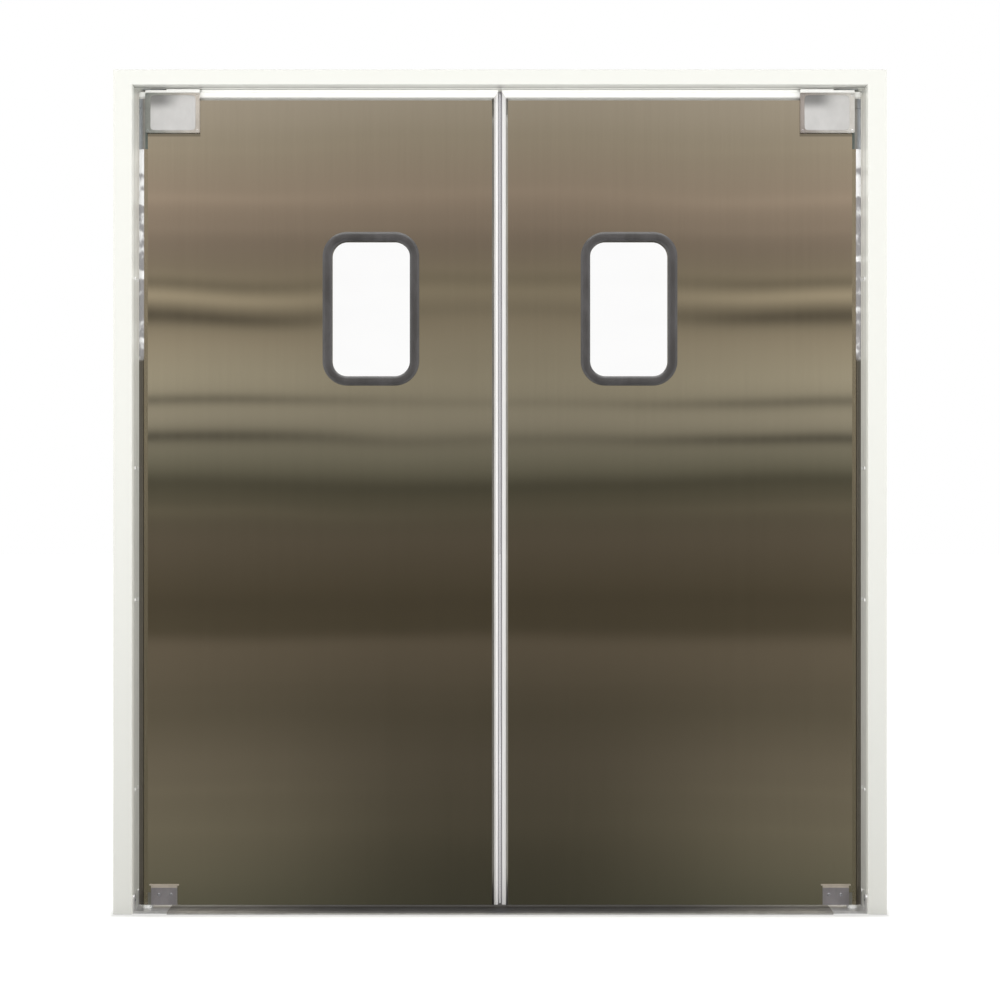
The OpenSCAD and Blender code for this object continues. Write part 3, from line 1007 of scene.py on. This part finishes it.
NODE_FINISHES: dict[str, Finish] = {
    "jamb": Palette.enamel,
    "header": Palette.head_enamel,
    "threshold": Palette.saddle,
    "wall_anchors": Palette.zinc,
    "floor_clip": Palette.zinc,
    "header_socket": Palette.zinc,
    "floor_bracket": Palette.bracket,
    "thrust_washer": Palette.nylon,
    "core": Palette.ply,
    "front_skin": Palette.skin,
    "back_skin": Palette.skin,
    "spine": Palette.spine,
    "meeting_channel": Palette.channel,
    "top_channel": Palette.channel,
    "bottom_channel": Palette.channel,
    "meeting_gasket": Palette.worn_gasket,
    "top_gasket": Palette.gasket,
    "window_ring_front": Palette.rubber,
    "window_ring_back": Palette.rubber,
    "window_pane": Palette.pane,
    "hinge_guard": Palette.guard,
    "hinge_knuckle": Palette.hinge,
    "bottom_shoe": Palette.shoe,
}


# ---------- surfaces ----------


def mesh_of_grids(name: str, grids: np.ndarray) -> bpy.types.Object:
    """Makes one object from closed surfaces, each a grid that wraps round its columns.

    Args:
        name: The object's name.
        grids: Points in metres, shaped (copies, rows, columns, 3). The first and last rows may
            be single points, which are merged.

    Returns:
        The object, with its normals outwards.
    """
    copies, rows, columns, _ = grids.shape
    row, column = np.meshgrid(np.arange(rows - 1), np.arange(columns), indexing="ij")
    following = (column + 1) % columns
    corners = np.stack(
        [
            row * columns + column,
            row * columns + following,
            (row + 1) * columns + following,
            (row + 1) * columns + column,
        ],
        axis=-1,
    ).reshape(-1, 4)
    faces = (corners[None] + (np.arange(copies) * rows * columns)[:, None, None]).reshape(-1, 4)
    mesh = bpy.data.meshes.new(name)
    mesh.from_pydata(grids.reshape(-1, 3).tolist(), [], faces.tolist())
    work = bmesh.new()
    work.from_mesh(mesh)
    bmesh.ops.remove_doubles(work, verts=work.verts, dist=0.001 * MM)
    bmesh.ops.recalc_face_normals(work, faces=work.faces)
    work.to_mesh(mesh)
    work.free()
    mesh.shade_smooth()
    made = bpy.data.objects.new(name, mesh)
    bpy.context.scene.collection.objects.link(made)
    return made


def turned_onto(points: np.ndarray, spots: np.ndarray, normal: Vector) -> np.ndarray:
    """Copies a small surface to many spots, with its own Z along a normal.

    The surface's own X lies level and its Y upright, both square to the normal, and each copy
    is moved by its spot.

    Args:
        points: The surface, shaped (rows, columns, 3).
        spots: Where the copies go, shaped (copies, 3).
        normal: The level direction, of length 1, that the copies face.

    Returns:
        Points shaped (copies, rows, columns, 3).
    """
    up = np.asarray(normal, float)
    across = np.cross(UP, up)
    beside = np.cross(up, across)
    turned = points[..., :1] * across + points[..., 1:2] * beside + points[..., 2:] * up
    return spots[:, None, None, :] + turned[None]


@dataclass(frozen=True)
class Head:
    """A round fixing head: a low dome with a cross recess, on a rim that goes into its seat."""

    radius: float = 4.5 * MM
    height: float = 2.0 * MM
    recess: float = 0.9 * MM
    sunk: float = 0.4 * MM
    fullness: float = 2.4
    hub: float = 0.2
    arm: float = 0.3
    rows: int = 12
    columns: int = 32

    def surface(self) -> np.ndarray:
        """The head about its own Z axis.

        At radius r and angle a the height is h (1 - (r/R)^n), less a recess that falls off as
        exp(-(r / (R w))^4), where w is the hub's share plus an arm's share times |cos 2a|^3.

        Returns:
            Points shaped (rows + 2, columns, 3), closed underneath.
        """
        share, angle = np.meshgrid(
            np.linspace(0, 1, self.rows),
            np.linspace(0, 2 * np.pi, self.columns, endpoint=False),
            indexing="ij",
        )
        wide = self.hub + self.arm * np.abs(np.cos(2 * angle)) ** 3
        dip = self.recess * np.exp(-((share / wide) ** 4))
        top = self.height * (1 - share**self.fullness) - dip
        out = self.radius * share
        dome = np.stack([out * np.cos(angle), out * np.sin(angle), top], axis=-1)
        rim = dome[-1:] * (1, 1, 0) - (0, 0, self.sunk)
        foot = np.zeros_like(rim) - (0, 0, self.sunk)
        return np.concatenate([dome, rim, foot])


def swept(
    sections: np.ndarray, start: np.ndarray, end: np.ndarray, across: Vector, out: Vector
) -> np.ndarray:
    """Carries a closed section along a straight line and closes each end on its middle.

    A point is the line's own point at that row, plus u times across, plus v times out.

    Args:
        sections: The section's (u, v) at each row, shaped (rows, columns, 2).
        start: The line's first point.
        end: The line's last point.
        across: The direction of u.
        out: The direction of v.

    Returns:
        Points shaped (rows + 2, columns, 3).
    """
    share = np.linspace(0, 1, len(sections))[:, None, None]
    turned = sections[..., :1] * np.array(across) + sections[..., 1:] * np.array(out)
    skin = start + (end - start) * share + turned
    ends = [np.repeat(row.mean(axis=0)[None, None], skin.shape[1], axis=1) for row in skin[[0, -1]]]
    return np.concatenate([ends[0], skin, ends[1]])


@dataclass(frozen=True)
class Lip:
    """A soft sealing lip that tapers to a round tip, carried along a straight edge."""

    reach: float = 3.8 * MM
    root: float = 2.4 * MM
    tip: float = 0.9 * MM
    sway: float = 0.25 * MM
    wave: float = 0.19
    rows: int = 96
    columns: int = 20

    def surface(self, start: np.ndarray, end: np.ndarray, toward: Vector) -> np.ndarray:
        """The lip between two points of its root.

        Round the section, angle a gives u = reach (1 - cos a) / 2 and half the thickness
        (root + (tip - root) u / reach) / 2 times sin a. The tip sways in Y as a slow sine of
        the distance along the edge.

        Args:
            start: The root's first point.
            end: The root's last point.
            toward: The direction that the lip points in.

        Returns:
            Points shaped (rows + 2, columns, 3).
        """
        along, angle = np.meshgrid(
            np.linspace(0, np.linalg.norm(end - start), self.rows),
            np.linspace(0, 2 * np.pi, self.columns, endpoint=False),
            indexing="ij",
        )
        out = (1 - np.cos(angle)) / 2
        thick = (self.root + (self.tip - self.root) * out) * np.sin(angle) / 2
        sway = self.sway * out * np.sin(2 * np.pi * along / self.wave)
        sections = np.stack([self.reach * out, thick + sway], axis=-1)
        return swept(sections, start, end, toward, (0, 1, 0))


@dataclass(frozen=True)
class Bead:
    """A half-round strip that lies on a sheet and clamps what goes under its edge."""

    width: float = 5 * MM
    rise: float = 1.3 * MM
    sunk: float = 0.2 * MM
    rows: int = 24
    columns: int = 24

    def surface(
        self, start: np.ndarray, end: np.ndarray, across: Vector, out: Vector
    ) -> np.ndarray:
        """The strip between two points of its middle line.

        Round the section, angle a gives u = w/2 cos a and v = h sin a above the sheet. Below
        it the section is flat, a little sunk.

        Args:
            start: The middle line's first point.
            end: The middle line's last point.
            across: The direction of the strip's width.
            out: The direction that it stands out in.

        Returns:
            Points shaped (rows + 2, columns, 3).
        """
        angle = np.linspace(0, 2 * np.pi, self.columns, endpoint=False)
        round_top = self.rise * np.maximum(np.sin(angle), 0)
        section = np.stack([self.width / 2 * np.cos(angle), round_top - self.sunk], axis=-1)
        return swept(np.repeat(section[None], self.rows, axis=0), start, end, across, out)


@dataclass(frozen=True)
class Plate:
    """A thin blank plate with round corners and a softened edge."""

    width: float
    height: float
    thick: float = 0.8 * MM
    edge: float = 0.5 * MM
    sunk: float = 0.2 * MM
    squareness: float = 12.0
    edge_rows: int = 5
    columns: int = 96

    def surface(self) -> np.ndarray:
        """The plate about its own middle, facing its own Z.

        Each ring is a superellipse |x/a|^n + |y/b|^n = 1, and the rings close in from the foot
        of the edge, round its softened shoulder, to the middle.

        Returns:
            Points shaped (rings, columns, 3).
        """
        angle = np.linspace(0, 2 * np.pi, self.columns, endpoint=False)
        power = 2 / self.squareness
        x = np.sign(np.cos(angle)) * np.abs(np.cos(angle)) ** power
        y = np.sign(np.sin(angle)) * np.abs(np.sin(angle)) ** power
        turn = np.linspace(0, np.pi / 2, self.edge_rows)
        inset = np.concatenate([[0.0], self.edge * (1 - np.cos(turn))])[:, None]
        rise = np.concatenate([[-self.sunk], self.thick - self.edge * (1 - np.sin(turn))])
        rings = np.stack(
            [
                (self.width / 2 - inset) * x,
                (self.height / 2 - inset) * y,
                np.broadcast_to(rise[:, None], (rise.size, self.columns)),
            ],
            axis=-1,
        )
        middle = np.zeros((1, self.columns, 3))
        return np.concatenate([middle + (0, 0, rise[0]), rings, middle + (0, 0, rise[-1])])


@dataclass
class Assembly:
    """A group of pieces that ride on one body."""

    body: str

    def keep(self, name: str, grids: list[np.ndarray], finish: Finish, slot: str) -> None:
        """Makes a piece, dresses it, ties it to the body and reports it.

        Args:
            name: The piece's name.
            grids: Its closed surfaces, each shaped (copies, rows, columns, 3).
            finish: Its finish.
            slot: The record's material slot that it belongs to. It is not used.
        """
        piece = mesh_of_grids(name, np.concatenate(grids))
        piece.data.materials.append(finish.material())
        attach(piece, self.body)
        LOG.info("made %s: %d faces, on %s", name, len(piece.data.polygons), self.body)

    @staticmethod
    def dress(node: str) -> None:
        """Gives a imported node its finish.

        Args:
            node: The node's name.
        """
        kind = node if node in NODE_FINISHES else node.split("_", 1)[1]
        material = NODE_FINISHES[kind].material()
        for slot in frame["nodes"][node].material_slots:
            slot.material = material
        LOG.info("dressed %s with %s", node, material.name)

    def dress_all(self) -> None:
        """Gives each of the body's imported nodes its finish."""
        for node in frame["record"]["behaviour"]["bodies"][self.body]:
            self.dress(node)


@dataclass
class Leaf(Assembly):
    """One swinging leaf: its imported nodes, its fixings, its soft lips and its blank plate."""

    side: Side = Side.LEFT
    rivet: Head = Head(radius=3.2 * MM, height=1.4 * MM, recess=0.0)
    rivet_inset: float = 6 * MM
    screw: Head = Head(radius=4.2 * MM, height=1.6 * MM, recess=0.8 * MM)
    screw_insets: tuple[float, float] = (19.6 * MM, 50.4 * MM)
    ledge: float = 2 * MM
    plate_margins: Vector = (13 * MM, 10 * MM, 6 * MM)
    lip: Lip = Lip()
    head_lip: Lip = Lip(root=3.0 * MM, tip=1.6 * MM, sway=0.15 * MM)
    head_clearances: Vector = (4 * MM, 1.5 * MM, 1 * MM)
    head_lip_sets: Vector = (19 * MM, 19 * MM, 8 * MM)
    socket_reach: float = 50 * MM
    bead: Bead = Bead()
    bead_lap: float = 1 * MM

    def named(self, kind: str) -> str:
        """The name of this leaf's own piece or node of a kind."""
        return f"{self.side.word}_{kind}"

    def box(self, kind: str) -> tuple[np.ndarray, np.ndarray]:
        """The lowest and highest corners of this leaf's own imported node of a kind."""
        return box_of(self.named(kind))

    def span(self, kind: str) -> tuple[float, float]:
        """The nearest and furthest |x| of this leaf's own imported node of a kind."""
        low, high = self.box(kind)
        return tuple(np.sort(np.abs([low[0], high[0]])))

    def face_of(self, kind: str, face: Face) -> float:
        """The Y of a node's outermost plane on one face of the doorway."""
        low, high = self.box(kind)
        return high[1] if face is Face.BACK else low[1]

    def rivets(self) -> None:
        """Puts a rivet near each corner of the guard, on both faces."""
        low, high = self.box("hinge_guard")
        low, high = low + self.rivet_inset, high - self.rivet_inset
        x, z = np.meshgrid([low[0], high[0]], [low[2], high[2]])
        parts = []
        for face in Face:
            y = np.full(x.size, self.face_of("hinge_guard", face))
            spots = np.stack([x.ravel(), y, z.ravel()], axis=-1)
            parts.append(turned_onto(self.rivet.surface(), spots, face.out))
        self.keep(self.named("guard_rivets"), parts, Palette.guard, "guard_steel")

    def shoe_screws(self) -> None:
        """Puts two countersunk heads in a row on each cheek of the shoe, below its ledge."""
        low, high = self.box("bottom_shoe")
        x = self.side.value * (self.span("bottom_shoe")[0] + np.array(self.screw_insets))
        z = np.full(x.size, (low[2] + high[2]) / 2)
        parts = []
        for face in Face:
            cheek = self.face_of("bottom_shoe", face) - face.value * self.ledge
            spots = np.stack([x, np.full(x.size, cheek), z], axis=-1)
            parts.append(turned_onto(self.screw.surface(), spots, face.out))
        self.keep(self.named("shoe_screws"), parts, Palette.fixing, "shoe_steel")

    def blank_plate(self) -> None:
        """Puts a bare plate on the front of the hinge guard, nearer its inner end."""
        low, high = self.box("hinge_guard")
        hinge, inner, edge = self.plate_margins
        plate = Plate(high[0] - low[0] - hinge - inner, high[2] - low[2] - 2 * edge)
        middle = (low + high) / 2
        middle[0] -= self.side.value * (hinge - inner) / 2
        middle[1] = low[1]
        skin = turned_onto(plate.surface(), middle[None], Face.FRONT.out)
        self.keep(self.named("guard_plate"), [skin], Palette.plate, "guard_steel")

    def meeting_lip(self) -> None:
        """Carries a soft lip up the meeting gasket, toward the other leaf's own lip."""
        low, high = self.box("meeting_gasket")
        edge = self.side.value * self.span("meeting_gasket")[0]
        start = np.array([edge, (low[1] + high[1]) / 2, low[2]])
        end = np.array([edge, start[1], high[2]])
        skin = self.lip.surface(start, end, self.side.inward)
        self.keep(self.named("meeting_lip"), [skin[None]], Palette.lip, "white_gasket")

    def head_lips(self) -> None:
        """Carries soft lips along the guard's top and the top gasket, toward the header.

        Within the socket's reach of the pin they stay below the socket, which they turn under.
        """
        inner, outer = self.span("hinge_guard")
        meeting = self.span("top_gasket")[0]
        guard_top = self.box("hinge_guard")[1][2]
        gasket_top = self.box("top_gasket")[1][2]
        pin = abs(frame["record"]["behaviour"]["joints"][0]["pos_m"][0])
        clear = pin - self.socket_reach
        runs = (
            (outer, clear, guard_top),
            (clear, inner, guard_top),
            (inner, meeting, gasket_top - self.lip.root),
        )
        parts = []
        for (first, last, foot), gap, out in zip(runs, self.head_clearances, self.head_lip_sets):
            lip = replace(self.head_lip, reach=Edge.header_low[2] - gap - foot)
            for face in Face:
                start = np.array([self.side.value * first, face.value * out, foot])
                end = np.array([self.side.value * last, face.value * out, foot])
                parts.append(lip.surface(start, end, UP)[None])
        self.keep(self.named("head_lips"), parts, Palette.gasket, "white_gasket")

    def meeting_beads(self) -> None:
        """Clamps the meeting gasket on both faces with a half-round strip on the skin's edge."""
        parts = []
        for face in Face:
            skin = f"{face.word}_skin"
            low, high = self.box(skin)
            x = self.side.value * (self.span(skin)[0] + self.bead_lap)
            y = self.face_of(skin, face)
            foot = np.array([x, y, low[2]])
            top = np.array([x, y, high[2] + self.bead.width / 2 - 2 * self.bead_lap])
            strip = self.bead.surface(foot, top, ACROSS, face.out)
            parts.append(strip[None])
        self.keep(self.named("meeting_beads"), parts, Palette.trim, "edge_channel")

    def head_beads(self) -> None:
        """Clamps the top gasket likewise, from the guard to the meeting gasket's strip."""
        guard_end = self.span("hinge_guard")[0]
        parts = []
        for face in Face:
            skin = f"{face.word}_skin"
            near = self.span(skin)[0] + self.bead_lap + self.bead.width / 2
            y = self.face_of(skin, face)
            z = self.box(skin)[1][2] - 2 * self.bead_lap
            start = np.array([self.side.value * near, y, z])
            end = np.array([self.side.value * guard_end, y, z])
            strip = self.bead.surface(start, end, UP, face.out)
            parts.append(strip[None])
        self.keep(self.named("head_beads"), parts, Palette.head_trim, "edge_channel")

    def build(self) -> None:
        """Builds and dresses the leaf."""
        self.dress_all()
        self.rivets()
        self.shoe_screws()
        self.blank_plate()
        self.meeting_lip()
        self.head_lips()
        self.meeting_beads()
        self.head_beads()


@dataclass
class Frame(Assembly):
    """The folded frame, with its screws and the saddle on the floor."""

    screw: Head = Head(radius=5.0 * MM, height=2.6 * MM)
    screw_heights: tuple[float, ...] = (0.305, 0.780, 1.110, 1.585)
    screw_set_back: float = 22 * MM
    bolt: Head = Head(radius=4.0 * MM, height=1.8 * MM, recess=0.8 * MM)
    ear_inset: float = 14 * MM
    ear_thick: float = 4 * MM

    def jamb_screws(self) -> None:
        """Puts a column of pan heads on each jamb's reveal, on both sides of the leaf."""
        rows = [face.value * self.screw_set_back for face in Face]
        y, z = np.meshgrid(rows, self.screw_heights)
        parts = []
        for side in Side:
            reveal = np.full(y.size, side.value * Edge.jamb_low[0])
            spots = np.stack([reveal, y.ravel(), z.ravel()], axis=-1)
            parts.append(turned_onto(self.screw.surface(), spots, side.inward))
        self.keep("jamb_screws", parts, Palette.cap, "white_frame_paint")

    def bracket_bolts(self) -> None:
        """Puts a bolt head through each of the floor brackets' ears, into the jambs."""
        parts = []
        for side in Side:
            low, high = box_of(f"{side.word}_floor_bracket")
            ear = np.full(2, side.value * (Edge.jamb_low[0] - self.ear_thick))
            y = np.array([low[1] + self.ear_inset, high[1] - self.ear_inset])
            spots = np.stack([ear, y, np.full(2, high[2] - self.ear_inset)], axis=-1)
            parts.append(turned_onto(self.bolt.surface(), spots, side.inward))
        self.keep("bracket_bolts", parts, Palette.fixing, "bracket_steel")

    def build(self) -> None:
        """Builds and dresses the frame."""
        self.dress_all()
        self.jamb_screws()
        self.bracket_bolts()


# ---------- the studio ----------


@dataclass(frozen=True)
class Hanging:
    """One tone of the dim cloths in front of and behind the doorway.

    Its height is the one at which the eye sees it mirrored in a leaf.
    """

    height: float
    glow: Colour


@dataclass(frozen=True)
class Fold:
    """A crease across the cloths, brighter or darker than they are as its gain says.

    Its outer share fades toward the meeting edges, or toward the hinges when it is negative.
    """

    height: float
    depth: float
    gain: float
    outer: float = 0.0


@dataclass(frozen=True)
class Lamp:
    """A square soft light that faces the middle of the doorway."""

    name: str
    place: Vector
    size: float
    power: float


@dataclass
class Studio:
    """A pale floor, a white sky, soft lights, and a dim surround that only polished metal sees."""

    eye_height: float = 1.03
    eye_distance: float = 6.0
    view_width: float = 2.485
    sensor: float = 36.0
    floor_radius: float = 40.0
    floor_drop: float = 0.5 * MM
    floor_tones: tuple[Colour, Colour] = ((0.90, 0.90, 0.895), (0.93, 0.93, 0.925))
    floor_glow: float = 0.75
    near_glow: float = 0.4
    haze_from: float = 2.6
    haze_deep: float = 2.4
    dust_front: float = 31 * MM
    dust_side: float = 5.5 * MM
    dust: float = 0.25
    dust_glow: float = 0.14
    sky: float = 0.63
    surround_radius: float = 9.0
    surround_white: Colour = (0.95, 0.95, 0.93)
    sides_from: float = 0.55
    sides_deep: float = 0.5
    crown_from: float = 0.6
    crown_deep: float = 0.4
    overhead: float = 2.5
    overhead_from: float = 0.80
    overhead_deep: float = 0.12
    cloth_top: float = 2.2
    cloth_half: float = 0.80
    cloth_outer: float = 0.44
    cloth_outer_deep: float = 0.60
    cloth_sag: float = 0.03
    cloth_streaks: float = 0.10
    cloth_lift: float = 0.16
    arch: float = 0.030
    arch_half: float = 0.40
    arch_from: float = 1.39
    arch_deep: float = 0.12
    dim: float = 0.10
    dim_low: float = 0.42
    low_at: float = 0.52
    low_deep: float = 0.62
    lamps: tuple[Lamp, ...] = (
        Lamp("key_light", (-3.2, -3.2, 3.1), 2.0, 56.0),
        Lamp("fill_light", (3.2, -3.2, 3.0), 2.0, 48.0),
        Lamp("front_light", (0.0, -5.5, 1.7), 2.5, 55.0),
        Lamp("back_light", (0.0, 3.8, 3.3), 2.5, 80.0),
    )
    hangings: tuple[Hanging, ...] = (
        Hanging(0.02, (0.130, 0.128, 0.092)),
        Hanging(0.14, (0.155, 0.145, 0.105)),
        Hanging(0.22, (0.195, 0.178, 0.130)),
        Hanging(0.38, (0.190, 0.168, 0.125)),
        Hanging(0.50, (0.145, 0.128, 0.092)),
        Hanging(0.672, (0.172, 0.146, 0.107)),
        Hanging(0.705, (0.098, 0.084, 0.056)),
        Hanging(0.80, (0.106, 0.090, 0.061)),
        Hanging(0.93, (0.140, 0.120, 0.088)),
        Hanging(1.065, (0.120, 0.114, 0.080)),
        Hanging(1.135, (0.235, 0.225, 0.170)),
        Hanging(1.23, (0.400, 0.372, 0.290)),
        Hanging(1.33, (0.455, 0.420, 0.320)),
        Hanging(1.43, (0.370, 0.325, 0.240)),
        Hanging(1.56, (0.300, 0.262, 0.190)),
        Hanging(1.65, (0.290, 0.240, 0.190)),
        Hanging(1.76, (0.420, 0.345, 0.275)),
        Hanging(1.90, (0.450, 0.400, 0.315)),
        Hanging(1.97, (0.510, 0.460, 0.375)),
        Hanging(2.08, (0.560, 0.510, 0.430)),
    )
    folds: tuple[Fold, ...] = (
        Fold(1.890, 0.006, 0.07, 0.3),
        Fold(1.766, 0.013, 0.16, 0.4),
        Fold(1.690, 0.008, 0.12, 0.6),
        Fold(1.584, 0.010, 0.12, 0.3),
        Fold(1.557, 0.010, -0.40, 0.7),
        Fold(1.523, 0.014, 0.74, 0.8),
        Fold(1.474, 0.020, -0.80, 0.82),
        Fold(1.390, 0.070, 0.06, 1.0),
        Fold(1.330, 0.090, -0.09, -1.0),
        Fold(1.271, 0.010, -0.80, 0.7),
        Fold(1.182, 0.013, -0.86, 0.60),
        Fold(1.072, 0.020, -0.26),
        Fold(1.000, 0.014, 0.30, 0.6),
        Fold(0.775, 0.018, -0.10, 0.3),
        Fold(0.565, 0.004, -0.12, 0.2),
        Fold(0.310, 0.010, 0.10, 0.7),
        Fold(0.215, 0.006, 0.08, 0.8),
        Fold(0.120, 0.080, 0.16, 1.0),
    )

    def surround(self) -> None:
        """Closes the studio with a dome whose bands give brushed steel something to reflect.

        The dome is a sphere: at latitude t and longitude s its point is
        R (cos t cos s, cos t sin s, sin t).
        """
        latitude, longitude = np.meshgrid(
            np.linspace(-np.pi / 2, np.pi / 2, 49),
            np.linspace(0, 2 * np.pi, 96, endpoint=False),
            indexing="ij",
        )
        unit = np.stack(
            [
                np.cos(latitude) * np.cos(longitude),
                np.cos(latitude) * np.sin(longitude),
                np.sin(latitude),
            ],
            axis=-1,
        )
        dome = mesh_of_grids("surround", self.surround_radius * unit[None])
        dome.data.materials.append(self.surround_light())
        dome.visible_camera = False
        dome.visible_diffuse = False
        dome.visible_transmission = False
        dome.visible_volume_scatter = False
        dome.visible_shadow = False
        dome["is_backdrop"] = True

    def surround_light(self) -> bpy.types.Material:
        """The dome's glow: cloths in tones and folds in front and behind, white at the sides.

        A dome point at reach r from the middle and height z is mirrored in a leaf at height
        e + D (z - e) / (D + r), for an eye at height e and distance D. Both the height and the
        sideways place are shrunk so.

        Returns:
            The material.
        """
        made, graph = new_material("surround_light")
        made.cycles.emission_sampling = "NONE"
        x, y, z = (graph.along(axis) for axis in "XYZ")
        reach = graph.math("SQRT", x * x + y * y)
        shrink = self.eye_distance / (reach + self.eye_distance)
        aside = graph.math("ABSOLUTE", x) * shrink
        height = self.eye_height + (z - self.eye_height) * shrink
        glow = self.cloths(graph, aside, height)
        sides = (graph.math("ABSOLUTE", x) / reach).above(self.sides_from, self.sides_deep)
        rise = z / self.surround_radius
        crown = rise.above(self.crown_from, self.crown_deep)
        glow = graph.mix(graph.math("MAXIMUM", sides, crown), glow, self.surround_white)
        lit = 1.0 + self.overhead * rise.above(self.overhead_from, self.overhead_deep)
        glow = graph.scaled(glow, lit)
        emission = graph.add("ShaderNodeEmission", {}, {"Color": glow, "Strength": 1.0})
        graph.show(emission.outputs[0])
        return made

    def cloths(self, graph: Graph, aside: Value, height: Value) -> bpy.types.NodeSocket:
        """The cloths' tones, which arch and sag a little, with streaks and folds across them.

        A fold is a Gaussian of the height. Its outer share is kept by a mask along |x|. Toward
        the middle the cloths are dimmer, and more so when low.

        Args:
            graph: The surround's node tree.
            aside: The distance from the middle at which the eye sees the point in a leaf.
            height: The height at which the eye sees it.

        Returns:
            The colour.
        """
        arch = self.arch * aside.below(self.arch_half, self.arch_half)
        arch = arch * height.above(self.arch_from, self.arch_deep)
        sag = graph.noise((0.35, 0.35, 0.0), detail=1.0)
        height = height - arch + self.cloth_sag * (sag - 0.5)
        stops = tuple((tone.height / self.cloth_top, tone.glow) for tone in self.hangings)
        tones = graph.ramp(stops, height / self.cloth_top)
        outer = aside.above(self.cloth_outer, self.cloth_outer_deep)
        streaks = graph.noise((0.15, 0.15, 14.0), detail=4.0, roughness=0.7)
        gain = 1.0 + self.cloth_streaks * (streaks - 0.5)
        for fold in self.folds:
            share = abs(fold.outer)
            kept = outer if fold.outer > 0 else 1.0 - outer
            bell = height.bell(fold.height, fold.depth)
            gain = gain + bell * fold.gain * (1.0 - share + share * kept)
        low = height.below(self.low_at, self.low_deep)
        gain = gain * (1.0 - (1.0 - outer) * (self.dim + self.dim_low * low))
        gain = gain * (1.0 + self.cloth_lift * aside.above(self.cloth_half, 0.25))
        return graph.scaled(tones, gain)

    def floor(self) -> None:
        """Lays a pale disc of rings round the doorway: point = r (cos s, sin s, 0), less its drop.

        The disc is grey, with a painted shadow in a narrow border round the foot of the frame, and
        it pales with distance into the sky.
        """
        share, angle = np.meshgrid(
            np.linspace(0, 1, 24) ** 2,
            np.linspace(0, 2 * np.pi, 64, endpoint=False),
            indexing="ij",
        )
        flat = np.stack(
            [share * np.cos(angle), share * np.sin(angle), np.zeros_like(share)], axis=-1
        )
        disc = mesh_of_grids("floor", self.floor_radius * flat[None] - (0.0, 0.0, self.floor_drop))
        made, graph = new_material("floor_pale")
        made.cycles.emission_sampling = "NONE"
        cloud = graph.noise((3.0, 3.0, 3.0), detail=3.0)
        aside, depth = graph.aside("X"), graph.aside("Y")
        reach = graph.math("SQRT", depth * depth + aside * aside)
        far = reach.above(self.haze_from, self.haze_deep)
        # Painted shadow: a grey, less glowing border round the foot of the frame.
        dust = depth.below(Edge.jamb_high[1] + self.dust_front, 12 * MM)
        dust = dust * aside.below(Edge.jamb_high[0] + self.dust_side, 20 * MM)
        pale = graph.mix(cloud, *self.floor_tones)
        glow = self.near_glow + (1.0 - self.near_glow) * far - self.dust_glow * dust
        shader = graph.principled(
            {
                "Base Color": graph.scaled(pale, 1.0 - self.dust * dust),
                "Roughness": 0.8,
                "Specular IOR Level": 0.1,
                "Emission Color": graph.scaled((1.0, 1.0, 1.0), glow),
                "Emission Strength": self.floor_glow,
            }
        )
        graph.show(shader)
        disc.data.materials.append(made)
        disc.visible_glossy = False
        disc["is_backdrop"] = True

    def sky_light(self) -> None:
        """A white sky: full strength to the eye and through the panes, softer as light."""
        world = bpy.data.worlds.new("studio")
        bpy.context.scene.world = world
        world.use_nodes = True
        graph = Graph(world.node_tree)
        path = graph.add("ShaderNodeLightPath")
        seen = graph.math(
            "MAXIMUM",
            Value(graph, path.outputs["Is Camera Ray"]),
            Value(graph, path.outputs["Is Transmission Ray"]),
        )
        sockets = {"Color": (1.0, 1.0, 1.0), "Strength": self.sky + (1.0 - self.sky) * seen}
        white = graph.add("ShaderNodeBackground", {}, sockets)
        graph.show(white.outputs[0], "ShaderNodeOutputWorld")

    def hang(self, lamp: Lamp) -> None:
        """Hangs a lamp and turns it to the middle of the doorway.

        Args:
            lamp: The lamp.
        """
        data = bpy.data.lights.new(lamp.name, "AREA")
        data.size = lamp.size
        data.energy = lamp.power
        hung = bpy.data.objects.new(lamp.name, data)
        bpy.context.scene.collection.objects.link(hung)
        middle = np.mean([tuple(corner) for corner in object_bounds()], axis=0)
        aim = middle - np.array(lamp.place)
        tilt = math.atan2(math.hypot(aim[0], aim[1]), -aim[2])
        hung.location = lamp.place
        hung.rotation_euler = (tilt, 0.0, math.atan2(-aim[0], aim[1]))
        hung.visible_glossy = False

    def camera(self) -> None:
        """Stands the camera square to the doorway, level, near the middle of its height."""
        low, _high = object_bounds()
        data = bpy.data.cameras.new("camera")
        data.sensor_width = self.sensor
        data.lens = self.sensor * self.eye_distance / self.view_width
        eye = bpy.data.objects.new("camera", data)
        bpy.context.scene.collection.objects.link(eye)
        eye.location = (0.0, low[1] - self.eye_distance, self.eye_height)
        eye.rotation_euler = (math.pi / 2, 0.0, 0.0)
        bpy.context.scene.camera = eye

    def build(self) -> None:
        """Sets up the whole studio."""
        bpy.context.scene.view_settings.view_transform = "Standard"
        self.camera()
        self.floor()
        self.surround()
        self.sky_light()
        for lamp in self.lamps:
            self.hang(lamp)
        LOG.info("studio ready: %d lamps", len(self.lamps))


def main() -> None:
    """Builds the studio, then the frame, then each leaf."""
    logging.basicConfig(level=logging.INFO, format="%(message)s")
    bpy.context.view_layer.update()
    Studio().build()
    Frame("frame").build()
    for side in Side:
        Leaf(side.body, side=side).build()


if __name__ == "__main__":
    main()
